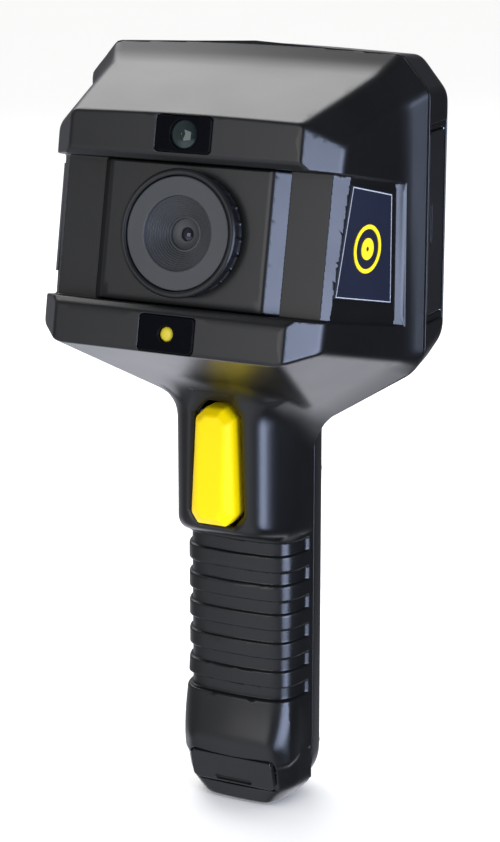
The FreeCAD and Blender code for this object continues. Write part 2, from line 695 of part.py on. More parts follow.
# ---------------------------------------------------------------------------------------------
# Seal, lens panel and lens
# ---------------------------------------------------------------------------------------------


def seam_ring(name, outline, high):
    upper = upright_sketch(name + "_front", outline, "seam_y - " + high)
    lower = upright_sketch(name + "_rear", outline, "seam_y + " + high)
    return loft(name, upper, lower)


cut(
    "housing_seal",
    seam_ring("seal_blank", "seal_out", "seal_thick / 2"),
    seam_ring("seal_void", "seal_in", "2"),
    insert_prism("seal_gap"),
)

panel_blank = primitive(
    "Part::Wedge", "panel_blank",
    Xmin="0 - panel_half - cheek_depth + panel_face", Xmax="panel_half + cheek_depth - panel_face",
    X2min="0 - panel_half", X2max="panel_half",
    Ymin="0 - cheek_depth", Ymax="0 - panel_face",
    Zmin="0 - slot_top + panel_gap", Zmax="0 - slot_bottom - panel_gap",
    Z2min="0 - slot_top + panel_gap", Z2max="0 - slot_bottom - panel_gap",
)
panel_blank.Placement = FreeCAD.Placement(Vector(), FreeCAD.Rotation(ACROSS, 170))
panel_blank.setExpression("Placement.Rotation.Angle", "180 - dims.tilt")
panel_blank.setExpression("Placement.Base.y", "dims.lens_y")
panel_blank.setExpression("Placement.Base.z", "dims.lens_z")
panel_hole = head_cylinder("panel_hole", "barrel_outer + barrel_clear", ("panel_face - 1", "cheek_depth + 1"))
cut("lens_panel", panel_blank, panel_hole)

focus_blank = revolved("focus_blank", [
    ("ring_bore", "ring_front + 0.6"), ("ring_bore + 0.6", "ring_front"), ("ring_outer - 0.7", "ring_front"),
    ("ring_outer", "ring_front + 0.7"), ("ring_outer", "ring_back"), ("ring_bore", "ring_back"),
])
place_in_head(focus_blank, axial=True)
notches = []
NOTCH_COUNT = int(sheet.ring_notch_count)
for number in range(NOTCH_COUNT):
    turn = f"({360 * number / NOTCH_COUNT} * 1deg)"
    notches.append(head_cylinder(
        f"notch{number}", "ring_notch_radius", ("ring_front + 1.6", "ring_back + 1"),
        f"(ring_outer + 0.6) * cos{turn}", f"(ring_outer + 0.6) * sin{turn}",
    ))
cut("focus_ring", focus_blank, *notches)

barrel = revolved("lens_barrel", [
    ("barrel_bore", "barrel_front"), ("barrel_outer", "barrel_front"), ("barrel_outer", "flange_front"),
    ("barrel_flange", "flange_front"), ("barrel_flange", "flange_back"), ("barrel_tail", "flange_back"),
    ("barrel_tail", "barrel_back"), ("barrel_aperture", "barrel_back"),
    ("barrel_aperture", "barrel_back - 1.5"), ("barrel_bore", "barrel_back - 1.5"),
])
place_in_head(barrel, axial=True)
nose = revolved("lens_nose", [
    ("nose_hole", "nose_front"), ("nose_face", "nose_front"), ("nose_face", "nose_step"),
    ("nose_tube", "nose_step"), ("nose_tube", "nose_back"), ("glass_bore", "nose_back"),
    ("glass_bore", "nose_seat"),
    ("nose_aperture", "nose_seat"), ("nose_aperture", "nose_seat - 1.7"), ("nose_hole", "nose_front + 0.6"),
])
place_in_head(nose, axial=True)
for name, front in (("front_lens", "nose_seat"), ("rear_lens", "rear_glass")):
    lens = revolved(name, [
        ("0", front), ("glass_radius * 0.5", f"{front} + 0.2"), ("glass_radius", f"{front} + 0.8"),
        ("glass_radius", f"{front} + glass_thick"), ("0", f"{front} + glass_thick"),
    ])
    place_in_head(lens, axial=True)

# ---------------------------------------------------------------------------------------------
# Sensor stack, behind the lens
# ---------------------------------------------------------------------------------------------

bracket_back = "flange_back + bracket_thick"
bracket_cut = ("flange_back - 1", bracket_back + " + 1")
board_cut = ("board_depth - 1", "board_depth + 3")
bracket_holes = [head_cylinder("bracket_bore", "barrel_tail + 0.1", bracket_cut)]
barrel_screws = []
board_screws = []
posts = []
board_holes = []
for number, (side_x, side_w) in enumerate(((-1, -1), (-1, 1), (1, -1), (1, 1))):
    x = f"{side_x} * post_x"
    w = f"{side_w} * post_w"
    posts.append(head_cylinder(f"post{number}", "post_radius", (bracket_back, "board_depth"), x, w))
    piece = screw(f"board_screw{number}", "1.9", "1.2", "0.9", "board_thick")
    place_in_head(piece, x, "board_depth + board_thick", w, axial=True)
    board_screws.append(piece)
    piece = screw(f"barrel_screw{number}", "1.6", "1.0", "0.8", "bracket_thick")
    place_in_head(piece, f"{side_x} * barrel_screw", bracket_back, f"{side_w} * barrel_screw", axial=True)
    barrel_screws.append(piece)
    bracket_holes.append(head_cylinder(
        f"barrel_screw_hole{number}", "0.85", bracket_cut,
        f"{side_x} * barrel_screw", f"{side_w} * barrel_screw",
    ))
    board_holes.append(head_cylinder(f"board_hole{number}", "0.95", board_cut, x, w))
group("board_posts", posts)
group("board_screws", board_screws)
group("barrel_screws", barrel_screws)
cut(
    "sensor_bracket",
    head_box("bracket_blank", ("0 - bracket_half_x", "bracket_half_x"), ("flange_back", bracket_back),
             ("0 - bracket_half_w", "bracket_half_w")),
    *bracket_holes,
)
board_blank = head_box(
    "detector_board_blank", ("0 - post_x - 4", "post_x + 4"), ("board_depth", "board_depth + board_thick"),
    ("0 - post_w - 4", "post_w + 4"),
)
cut("detector_board", board_blank, *board_holes)
head_box("detector_module", ("0 - detector_half", "detector_half"), ("detector_front", "board_depth"),
         ("0 - detector_half", "detector_half"))

motor_can = head_cylinder("motor_can", "motor_radius", (bracket_back, "motor_back"), "shutter_x", "0")
shaft_span = ("motor_back", "shutter_front + 1.4")
motor_shaft = head_cylinder("motor_shaft", "shaft_radius", shaft_span, "shutter_x", "0")
fuse("shutter_motor", motor_can, motor_shaft)
blade_depth = ("shutter_front", "shutter_front + shutter_thick")
blade_disc = head_cylinder(
    "blade_disc", "shutter_disc", blade_depth,
    "shutter_x - shutter_x * cos(dims.shutter_open * 1deg)", "shutter_x * sin(dims.shutter_open * 1deg)",
)
blade_hub = head_cylinder("blade_hub", "2.2", blade_depth, "shutter_x", "0")
blade_arm = primitive("Part::Box", "blade_arm", Length="shutter_x - 3", Width="shutter_thick", Height="2.4")
arm_turn = FreeCAD.Rotation(Vector(0, 1, 0), 180 + sheet.shutter_open)
blade_arm.Placement = FreeCAD.Placement(Vector(), FreeCAD.Rotation(-ACROSS, sheet.tilt) * arm_turn)
arm_low = "(0 - 1.2 * cos(dims.shutter_open * 1deg))"
blade_arm.setExpression("Placement.Base.x", sized("shutter_x + 1.2 * sin(dims.shutter_open * 1deg)"))
blade_arm.setExpression("Placement.Base.y", f"dims.lens_y + dims.shutter_front * {COS} - {arm_low} * {SIN}")
blade_arm.setExpression("Placement.Base.z", f"dims.lens_z - dims.shutter_front * {SIN} - {arm_low} * {COS}")
blade_bore = head_cylinder("blade_bore", "shaft_bore", ("motor_back", "shutter_front + 2"), "shutter_x", "0")
cut("shutter_blade", fuse("blade_blank", blade_disc, blade_hub, blade_arm), blade_bore)

# ---------------------------------------------------------------------------------------------
# Windows, camera and lamp in the bars
# ---------------------------------------------------------------------------------------------

CAMERA_MIDDLE = "(camera_low + camera_high) / 2"
LAMP_MIDDLE = "(lamp_low + lamp_high) / 2"


def window(name, low, high, hole, middle):
    pane = head_box(name + "_pane", ("0 - window_half + 0.1", "window_half - 0.1"), ("0", "window_thick"),
                    (f"{low} + 0.1", f"{high} - 0.1"))
    opening = head_cylinder(name + "_opening", hole, ("0 - 1", "window_thick + 1"), "0", middle)
    return cut(name, pane, opening)


window("camera_window", "camera_low", "camera_high", "camera_hole", CAMERA_MIDDLE)
window("lamp_window", "lamp_low", "lamp_high", "lamp_hole", LAMP_MIDDLE)
camera_lens = revolved("camera_lens", [
    ("0", "0 - 0.9"), ("1.8", "0 - 0.75"), ("3.4", "0 - 0.3"), ("camera_lens_radius", "0.5"),
    ("camera_lens_radius", "window_thick + 0.3"), ("0", "window_thick + 0.3"),
])
place_in_head(camera_lens, "0", "0", CAMERA_MIDDLE, axial=True)
head_box("camera_module", ("0 - module_x", "module_x"), ("window_thick + 0.3", "module_back"),
         (f"{CAMERA_MIDDLE} - module_w", f"{CAMERA_MIDDLE} + module_w"))
head_cylinder("lamp_led", "lamp_radius", ("0.5", "3"), "0", LAMP_MIDDLE)
head_box("lamp_board", ("0 - lamp_board_x", "lamp_board_x"), ("3", "3 + board_thick"),
         (f"{LAMP_MIDDLE} - lamp_board_w", f"{LAMP_MIDDLE} + lamp_board_w"))

# ---------------------------------------------------------------------------------------------
# Labels in the side recesses. Each lies on the recess floor, its front edge leaning with the head.
# ---------------------------------------------------------------------------------------------

recess_run = Vector(sheet.label_back_x - sheet.label_front_x, sheet.label_back_y - sheet.label_front_y, 0)
recess_along = recess_run.normalize()
label_turn = FreeCAD.Rotation(recess_along, Vector(0, 0, 1), recess_along.cross(Vector(0, 0, 1)), "XYZ")
label_place = FreeCAD.Placement(Vector(sheet.label_front_x, sheet.label_front_y, 0), label_turn)
LABEL_CORNERS = [("12.8", "234"), ("36.4", "228.3"), ("36.4", "191.3"), ("2.9", "198.6")]
label, label_sketch = extruded("label_right", LABEL_CORNERS, label_place, "label_thick")
mirrored("label_left", label)


def emblem_ring(name, outer, inner):
    """A thin ring on the label: the mark of a warm spot."""
    middle = label_place.multVec(Vector(21.5, 212, sheet.label_thick))
    rings = []
    for part_name, radius in ((name, outer), (name + "_void", inner)):
        ring = primitive("Part::Cylinder", part_name, Radius=radius, Height="0.2")
        ring.Placement = FreeCAD.Placement(middle, label_turn)
        rings.append(ring)
    return cut(name + "_ring", *rings)


emblem_rings = [emblem_ring("emblem_large", "8", "6.6"), emblem_ring("emblem_small", "3.6", "0.8")]
emblem = fuse("emblem_right", *emblem_rings)
mirrored("emblem_left", emblem)

# ---------------------------------------------------------------------------------------------
# Trigger
# ---------------------------------------------------------------------------------------------


def trigger_section(name, outline, y, lean):
    sketch = doc.addObject("Sketcher::SketchObject", name)
    polygon(sketch, both_halves(outline))
    sketch.Placement = FreeCAD.Placement(Vector(), FreeCAD.Rotation(ACROSS, 80))
    sketch.setExpression("Placement.Rotation.Angle", f"90 - {lean}")
    sketch.setExpression("Placement.Base.y", sized(f"{y} - trigger_middle * sin({lean} * 1deg)"))
    return sketch


trigger_blank = loft(
    "trigger_blank",
    trigger_section("trigger_back_section", "trigger_rim", "trigger_back", "0"),
    trigger_section("trigger_edge_section", "trigger_rim", "trigger_edge", "dims.trigger_lean"),
    trigger_section("trigger_face_section", "trigger_front", "trigger_face", "dims.trigger_lean"),
)
cut("trigger", trigger_blank, pin_cylinder("trigger_bore", "pin_bore", "15"))
pin_cylinder("trigger_pin", "pin_radius", "14")
switch_body = box("switch_body", ("0 - 5", "5"), ("0 - 12.5", "0 - 6.5"), ("112", "124"))
switch_plunger = along_y("switch_plunger", "1.2", "0 - 14.2", "0 - 12.5", "0", "118")
fuse("trigger_switch", switch_body, switch_plunger)
box("switch_bracket", ("0 - 13", "13"), ("0 - 6.5", "0 - 5"), ("110", "142"))
coil = doc.addObject("Part::Helix", "spring_path")
coil.setExpression("Pitch", "1.9")
coil.setExpression("Height", "9.4")
coil.setExpression("Radius", "2.6")
coil.Placement = FreeCAD.Placement(Vector(0, -16.5, 134), FreeCAD.Rotation(ACROSS, -90))
wire_round = doc.addObject("Part::Circle", "spring_wire")
wire_round.setExpression("Radius", "0.35")
wire_round.Placement = FreeCAD.Placement(Vector(2.6, -16.5, 134), FreeCAD.Rotation())
spring = doc.addObject("Part::Sweep", "trigger_spring")
spring.Sections = [wire_round]
spring.Spine = (coil, [])
spring.Solid = True
spring.Frenet = True

# ---------------------------------------------------------------------------------------------
# Display, keypad and boards
# ---------------------------------------------------------------------------------------------

box("display_glass", ("0 - glass_half_x", "glass_half_x"), ("back_y - 2", "back_y - 2 + glass_sheet"),
    ("glass_low", "glass_high"))
box("display_panel", ("0 - 41.5", "41.5"), ("20", "24.6"), ("196.5", "257.5"))
box("display_frame", ("0 - 49", "49"), ("18.4", "19.6"), ("192", "263"))
box("keypad_board", ("0 - 37", "37"), ("18.8", "20.4"), ("162.5", "189.5"))
box("keypad_mat", ("0 - 37", "37"), ("20.4", "22.4"), ("162.5", "189.5"))
box("main_board", ("0 - 49", "49"), ("main_board_y", "main_board_y + board_thick"), ("178", "262"))
# Chips on the main board: left and right edge, lower and upper edge
CHIP_PLACES = [
    ("0 - 30", "0 - 12", "215", "233"),
    ("2", "16", "218", "232"),
    ("22", "36", "200", "208"),
    ("0 - 26", "0 - 14", "190", "202"),
]
board_back = "main_board_y + board_thick"
chips = [
    box(f"chip{number}", (x0, x1), (board_back, board_back + " + 1.4"), (z0, z1))
    for number, (x0, x1, z0, z1) in enumerate(CHIP_PLACES)
]
group("main_board_chips", chips)

# ---------------------------------------------------------------------------------------------
# Battery and sockets
# ---------------------------------------------------------------------------------------------

box("battery_pack", ("0 - battery_half_x", "battery_half_x"), ("battery_front", "battery_back"),
    ("battery_low", "battery_high"))
box("battery_contacts", ("0 - 13", "13"), ("0 - 4", "11"), ("battery_high", "battery_high + 1.6"))
box("battery_lead", ("0 - 5", "5"), ("8", "9.2"), ("battery_high + 1.6", "178"))

port_blank = flap_box("port_blank", ("0 - port_half", "port_half"), ("flap_thick + 0.4", "port_back"),
                      ("0 - flap_high + 1.8", "0 - 2.8"))
usb_space = flap_box("usb_space", ("0 - 10", "0 - 1"), ("flap_thick", "port_back + 1"), ("0 - 8.2", "0 - 5"))
card_space = flap_box("card_space", ("1.5", "12"), ("flap_thick", "port_back + 1"), ("0 - 7.6", "0 - 5.6"))
cut("port_plate", port_blank, usb_space, card_space)
flap_box("usb_socket", ("0 - 9.95", "0 - 1.05"), ("flap_thick + 0.8", "port_back"), ("0 - 8.15", "0 - 5.05"))
flap_box("card_slot", ("1.55", "11.95"), ("flap_thick + 0.8", "port_back"), ("0 - 7.55", "0 - 5.65"))


def hinge_cylinder(name, radius, half):
    """A cylinder across the foot, on the flap's hinge."""
    obj = primitive("Part::Cylinder", name, Radius=radius, Height=f"2 * ({sized(half)})")
    on_flap(obj, f"0 - ({half})", "1", "0 - 1")
    obj.Placement = FreeCAD.Placement(obj.Placement.Base, FreeCAD.Rotation(Vector(0, 1, 0), 90))
    obj.setExpression("Placement.Rotation.Angle", "90")
    return obj


flap_plate = flap_box("flap_plate", ("0 - flap_half", "flap_half"), ("0", "flap_thick"),
                      ("0 - flap_high", "0 - 1"))
flap_notch = flap_box("flap_notch", ("0 - 7", "7"), ("0 - 1", "0.9"),
                      ("0 - flap_high - 1", "0 - flap_high + 1.3"))
cut(
    "base_flap",
    fuse("flap_blank", flap_plate, hinge_cylinder("flap_knuckle", "1", "flap_half")),
    flap_notch, hinge_cylinder("flap_bore", "0.55", "flap_half + 1"),
)
hinge_cylinder("base_flap_pin", "0.5", "flap_half + 0.2")



def side_cylinder(name, radius, reach):
    """An upright cylinder on the side flap's hinge line, longer than the flap by a reach at each end."""
    return turned_cylinder(
        name, radius, f"side_high - side_low + 2 * ({reach})", ACROSS, 0,
        "(side_in + side_out) / 2", "side_back", f"side_low - ({reach})",
    )


side_plate = box("side_plate", ("side_in", "side_out"), ("side_front", "side_back"),
                 ("side_low", "side_high"))
side_knuckle = side_cylinder("side_knuckle", "(side_out - side_in) / 2", "0")
cut("side_flap", fuse("side_flap_blank", side_plate, side_knuckle), side_cylinder("side_bore", "0.5", "1"))
side_cylinder("side_flap_pin", "0.45", "0.2")
box("side_socket", ("56", "62.1"), ("9.1", "16.9"), ("205.1", "224.9"))

cut(
    "tripod_insert",
    insert_prism("insert_blank"),
    turned_cylinder("insert_thread", "socket_radius", "socket_long + 2", ACROSS, 0, "0", "0", "0 - 1"),
)

# ---------------------------------------------------------------------------------------------
# Checks and files
# ---------------------------------------------------------------------------------------------

NODES = [
    "front_housing", "rear_housing", "housing_seal", "lens_panel", "focus_ring", "lens_barrel", "lens_nose",
    "front_lens", "rear_lens", "sensor_bracket", "board_posts", "board_screws", "barrel_screws",
    "detector_board", "detector_module", "shutter_motor", "shutter_blade", "camera_window", "camera_lens",
    "camera_module",
    "lamp_window", "lamp_led", "lamp_board", "label_right", "label_left", "emblem_right", "emblem_left",
    "trigger", "trigger_pin", "trigger_switch", "switch_bracket", "trigger_spring", "display_glass",
    "display_panel", "display_frame", "keypad_board", "keypad_mat", "main_board", "main_board_chips",
    "battery_pack", "battery_contacts", "battery_lead", "port_plate", "usb_socket", "card_slot", "base_flap",
    "base_flap_pin", "side_flap", "side_flap_pin", "side_socket", "tripod_insert", "housing_screws",
] + [name for name, across, up, form in KEYS]

doc.recompute()
failed = [obj.Label for obj in doc.Objects if "Invalid" in obj.State or "Error" in obj.State]
if failed:
    raise RuntimeError(f"objects that failed: {failed}")
os.makedirs("parts", exist_ok=True)
for name in NODES:
    shape = doc.getObject(name).Shape
    if shape.isNull() or not shape.isValid():
        raise RuntimeError(f"{name} has no valid shape")
    shape.exportStep(f"parts/{name}.step")
    print(f"{name}: {len(shape.Solids)} solids, {shape.Volume:.1f} mm3")
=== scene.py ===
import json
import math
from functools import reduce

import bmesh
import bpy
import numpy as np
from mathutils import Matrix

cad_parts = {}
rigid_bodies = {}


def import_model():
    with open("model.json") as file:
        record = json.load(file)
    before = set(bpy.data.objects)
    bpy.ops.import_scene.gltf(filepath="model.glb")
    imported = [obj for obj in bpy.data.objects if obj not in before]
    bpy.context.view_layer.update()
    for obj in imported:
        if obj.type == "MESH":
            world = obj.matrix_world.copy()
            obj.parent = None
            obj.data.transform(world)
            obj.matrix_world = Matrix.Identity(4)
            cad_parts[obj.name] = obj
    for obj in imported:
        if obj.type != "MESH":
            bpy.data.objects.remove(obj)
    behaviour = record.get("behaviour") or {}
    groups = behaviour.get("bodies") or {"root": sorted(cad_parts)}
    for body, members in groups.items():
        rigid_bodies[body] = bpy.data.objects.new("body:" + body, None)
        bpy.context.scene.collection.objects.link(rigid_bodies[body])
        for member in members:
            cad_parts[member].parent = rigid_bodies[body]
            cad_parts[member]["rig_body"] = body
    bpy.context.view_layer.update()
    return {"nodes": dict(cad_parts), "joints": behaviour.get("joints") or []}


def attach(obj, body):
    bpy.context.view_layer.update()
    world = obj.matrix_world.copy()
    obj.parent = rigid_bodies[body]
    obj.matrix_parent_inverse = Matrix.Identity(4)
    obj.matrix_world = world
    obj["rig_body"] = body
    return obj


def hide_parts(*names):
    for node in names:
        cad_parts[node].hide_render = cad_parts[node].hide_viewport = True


bl_info = {
    "name": "Thermal camera",
    "version": (1, 0, 0),
    "blender": (4, 5, 0),
    "location": "View3D > Sidebar > Thermal camera",
    "description": "Builds the visible pieces of a handheld thermal imaging camera round its packed frame",
    "category": "Object",
}

import openvdb
from mathutils import Vector

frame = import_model()

# Every size below is in millimetres.
MM = 0.001

# The lens looks along LOOK. In the leaning frame of the head, x is across, d is the depth behind the
# front plane and w runs up the front plane. Both start on the lens axis.
focus_joint = next(joint for joint in frame["joints"] if joint["name"] == "focus_turn")
LENS = np.array(focus_joint["pos_m"]) / MM
BACK = -np.array(focus_joint["axis"])
ACROSS = np.array((1.0, 0.0, 0.0))
UP = np.cross(ACROSS, BACK)

# Levels and planes of the shells
SEAM = 4.0
SEAM_HALF = 0.3
FLANGE_Y = -4.0
REAR_EDGE_Y = 22.0
BACK_Y = 27.0
REAR_HOLLOW_Y = 24.5
SHOULDER_D = 10.0
CHEEK_D = 12.2
HOLLOW_D = 14.7
SLOT_TOP = 23.3
SLOT_BOTTOM = -24.1
SLOT_BEVEL = 2.2
GUARD_Y = -26.0
LENS_BORE = 19.6
# Windows in the bars: their lower and upper edge, and the radius of the hole in their pane
CAMERA_WINDOW = (26.1, 38.2)
CAMERA_HOLE = 4.85
LAMP_WINDOW = (-39.1, -26.9)
LAMP_HOLE = 2.6
PANE_THICK = 1.2

# Outlines, right half, from the top centre downwards or from the seam forwards
FACE = [(0, 39.4), (42.1, 38.5), (42.5, 37.5), (42.5, -38.4)]
SHOULDER = [(0, 44.9), (44.2, 44.0), (52.8, 33.7), (52.8, -33.8)]
FLANGE_IN = [(0, 269.2), (50.5, 267), (59.7, 257), (59.7, 171.8), (57.5, 168.2), (24, 146)]
FLANGE_TOP = FLANGE_IN[:4]
FLANGE_OUT = [(0, 275), (54, 272.6), (64.6, 260.6), (64.6, 171.3), (60.3, 164.3), (23.6, 141.3)]
REAR_EDGE = [(0, 273.2), (54.2, 271), (64.3, 258.6), (64.3, 176), (57.6, 165.8), (23.6, 144.3)]
REAR_FLAT = [(0, 268.5), (52, 266.5), (59.5, 256.5), (59.5, 177), (54.5, 170), (23.5, 150)]
HOLLOW_FACE = [(0, 41.5), (41, 40.5), (49.3, 31.5), (49.3, -31.5)]
HOLLOW_IN = [(0, 266.2), (49, 264), (54.4, 255.5), (54.4, 173.5), (53.5, 171.2), (21, 149.6)]
HOLLOW_OUT = [(0, 272), (52.6, 269.6), (61.6, 259.4), (61.6, 172.4), (58.2, 166.9), (21, 144.6)]
HOLLOW_REAR = [(0, 270.2), (52.8, 268), (61.3, 257.4), (61.3, 177.2), (56, 169), (21, 147.6)]
HOLLOW_BACK = [(0, 267), (51, 265), (58.4, 255.8), (58.4, 178), (53.6, 171.4), (21, 153)]
FOOT_SOLE = [(15.4, 3.7), (15.2, -2), (14.8, -5), (14.2, -7), (13, -9.5), (10, -10.4)]
FOOT_LOW = [(23.4, 3.7), (22.2, -3), (20.5, -8), (18.5, -10.5), (15.5, -12.3), (10, -13)]
FOOT_HIGH = [(23.4, 3.7), (22.8, -6), (21.3, -11), (19.5, -14), (16.5, -17), (10, -18)]
GRIP = [(23.4, 3.7), (22.8, -2), (21.6, -6.5), (19, -10.5), (15.5, -12.5), (9, -13.5)]
GUARD = [(23.4, 3.7), (22.6, -8), (20.5, -15.5), (18.5, -20.5), (15, -24.5), (11, -26)]
GRIP_HOLLOW = [(20.6, 3.7), (20.2, -2), (18.8, -5.8), (16.6, -8.8), (13.5, -10), (8, -10.6)]
GUARD_HOLLOW = [(20.6, 3.7), (19.8, -8), (17.8, -14.5), (15.8, -18.6), (12.8, -21.8), (9, -23)]
HEEL_SOLE = [(15.4, 4.3), (15.2, 7), (14.2, 10), (12.5, 12.5), (9, 14.2)]
HEEL = [(23.4, 4.3), (23.2, 10), (21, 16.6), (16.6, 20.8), (9.5, 22.4)]
HEEL_HOLLOW = [(20.6, 4.3), (20.4, 9), (18.5, 14.6), (15, 18), (8.5, 19.6)]
TRIGGER_RIM = [(0, 152.6), (3.4, 152.6), (7.1, 149), (8.4, 115), (5.4, 111.2), (0, 111.2)]
TRIGGER_FRONT = [(0, 150.2), (2.2, 150.2), (5.3, 147.2), (4.9, 117.2), (3.3, 114.4), (0, 114.4)]


# ---------------------------------------------------------------------------------------------
# Solids as distance functions: below zero inside, in millimetres
# ---------------------------------------------------------------------------------------------

class Place:
    """Points in the row's frame, with their places in the head's leaning frame."""

    def __init__(self, x, y, z):
        self.x, self.y, self.z = x, y, z
        self.side = np.abs(x)
        self.d = (y - LENS[1]) * BACK[1] + (z - LENS[2]) * BACK[2]
        self.w = (y - LENS[1]) * UP[1] + (z - LENS[2]) * UP[2]


def meet(round_by, *distances):
    """What is inside all of them. Their shared edges are rounded."""
    def pair(a, b):
        near = np.maximum(round_by - np.abs(a - b), 0)
        return np.maximum(a, b) + near * near / (4 * round_by)
    return reduce(pair, distances)


def join(round_by, *distances):
    """What is inside any of them, with a fillet where they meet."""
    return -meet(round_by, *[-distance for distance in distances])


def carve(round_by, solid, *tools):
    """A solid with tools cut out of it, and round edges round the cuts."""
    return meet(round_by, solid, *[-tool for tool in tools])


def upright(outline, y):
    """An outline of (across, height) in an upright plane."""
    return [np.array((x, y, z)) for x, z in outline]


def level(outline, z):
    """An outline of (across, y) in a level plane."""
    return [np.array((x, y, z)) for x, y in outline]


def leaning(outline, d):
    """An outline of (across, w) in a plane of the head's leaning frame."""
    return [LENS + ACROSS * x + BACK * d + UP * w for x, w in outline]


def skin(*sections, close=True):
    """The planes between the matching edges of successive sections, as (normal, offset).

    A closed outline has an edge from its last corner to the middle.
    """
    closed = []
    for section in sections:
        ends = [section[-1] * (0, 1, 1)] if section[-1][0] > 0 and close else []
        closed.append(list(section) + ends)
    inside = np.mean([np.mean(section, axis=0) for section in closed], axis=0) * (0, 1, 1)
    planes = []
    for near, far in zip(closed, closed[1:]):
        for i in range(len(near) - 1):
            normal = np.cross(far[i + 1] - near[i], far[i] - near[i + 1])
            normal = normal / np.linalg.norm(normal)
            middle = (near[i] + near[i + 1] + far[i] + far[i + 1]) / 4
            if normal @ (middle - inside) < 0:
                normal = -normal
            planes.append((normal, normal @ middle))
    return planes


def through(a, b, c, inwards=0.0):
    """The plane through three points, moved inwards."""
    a, b, c = np.array(a), np.array(b), np.array(c)
    normal = np.cross(b - a, c - a)
    normal = normal / np.linalg.norm(normal)
    if normal @ (a - (0, -10, 200)) < 0:
        normal = -normal
    return normal, normal @ a - inwards


# How far across the crown of a level plane reaches
CROWN_SOFT = 25.0


def hull(p, planes, round_by):
    """A convex body from its planes. A plane that is nearly level across is crowned, not creased."""
    def distance(normal, offset):
        across = np.sqrt(p.x * p.x + CROWN_SOFT ** 2) if abs(normal[0]) < 0.1 else p.side
        return normal[0] * across + normal[1] * p.y + normal[2] * p.z - offset
    return meet(round_by, *[distance(normal, offset) for normal, offset in planes])


def rounded_box(across, along, half_across, low, high, corner):
    """A rectangle with round corners, in two directions."""
    u = np.abs(across) - half_across + corner
    v = np.abs(along - (low + high) / 2) - (high - low) / 2 + corner
    outside = np.hypot(np.maximum(u, 0), np.maximum(v, 0))
    return outside + np.minimum(np.maximum(u, v), 0) - corner


def slab(value, low, high):
    """What lies between two levels."""
    return np.abs(value - (low + high) / 2) - (high - low) / 2


# Cells along a side of a block of the grid
BLOCK = 8


def moulded(name, distance, low, high, step, flatten=0.02):
    """Mesh a distance function between two corners, with its normals taken from the function itself.

    Only blocks of the grid that are near the surface are filled in. Flatten, from 0 to 1, is how far nearly
    flat areas are merged into larger faces.
    """
    low = np.array(low, float) - 2 * step
    count = np.ceil((np.array(high) + 2 * step - low) / (BLOCK * step)).astype(int)
    reach = BLOCK * step
    corners = np.stack(np.meshgrid(*[np.arange(n) for n in count], indexing="ij"), -1).reshape(-1, 3)

    def sample(points):
        return distance(Place(points[..., 0], points[..., 1], points[..., 2]))

    rough = sample(low + (corners + 0.5) * reach)
    field = np.empty(tuple(count) + (BLOCK,) * 3, np.float32)
    field[...] = np.sign(rough).reshape(tuple(count) + (1, 1, 1)) * reach
    ticks = np.stack(np.meshgrid(*[np.arange(BLOCK)] * 3, indexing="ij"), -1) * step
    close = corners[np.abs(rough) < reach]
    for start in range(0, len(close), 256):
        part = close[start:start + 256]
        points = low + part[:, None, None, None, :] * reach + ticks
        field[part[:, 0], part[:, 1], part[:, 2]] = sample(points)
    grid = openvdb.FloatGrid(reach)
    grid.copyFromArray(np.ascontiguousarray(field.transpose(0, 3, 1, 4, 2, 5)).reshape(count * BLOCK))
    points, triangles, quads = grid.convertToPolygons(0.0, flatten)
    points = low + points.astype(float) * step

    def slope(places):
        small = 0.02
        sides = []
        for axis in range(3):
            shift = np.zeros(3)
            shift[axis] = small
            sides.append((sample(places + shift) - sample(places - shift)) / (2 * small))
        return np.stack(sides, -1)

    for _ in range(2):
        rise = slope(points)
        steep = np.maximum((rise * rise).sum(-1, keepdims=True), 0.25)
        points -= np.clip(sample(points)[:, None], -step, step) * rise / steep
    normals = slope(points)
    normals /= np.maximum(np.linalg.norm(normals, axis=1, keepdims=True), 1e-6)
    faces = [face[::-1] for face in triangles.tolist() + quads.tolist()]
    mesh = bpy.data.meshes.new(name)
    mesh.from_pydata((points * MM).tolist(), [], faces)
    mesh.validate()
    mesh.polygons.foreach_set("use_smooth", [True] * len(mesh.polygons))
    mesh.update()
    some = [mesh.polygons[i] for i in range(0, len(mesh.polygons), 97)]
    if sum(face.normal @ Vector(normals[face.vertices[0]]) for face in some) < 0:
        mesh.flip_normals()
    mesh.normals_split_custom_set_from_vertices(normals.tolist())
    return add_object(name, mesh)


def add_object(name, mesh):
    """Put a mesh in the scene."""
    piece = bpy.data.objects.new(name, mesh)
    bpy.context.scene.collection.objects.link(piece)
    return piece


# The finishes by the name of their slot, filled in by make_materials
MATERIALS = {}


def set_up(piece, body, slot, *nodes, material=None):
    """Ride a piece on its body and stand it for its nodes, in its slot's finish unless it has another."""
    if not piece.data.materials:
        piece.data.materials.append(MATERIALS[material or slot])
    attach(piece, body)
    if nodes:
        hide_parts(*nodes)


# ---------------------------------------------------------------------------------------------
# Shells
# ---------------------------------------------------------------------------------------------

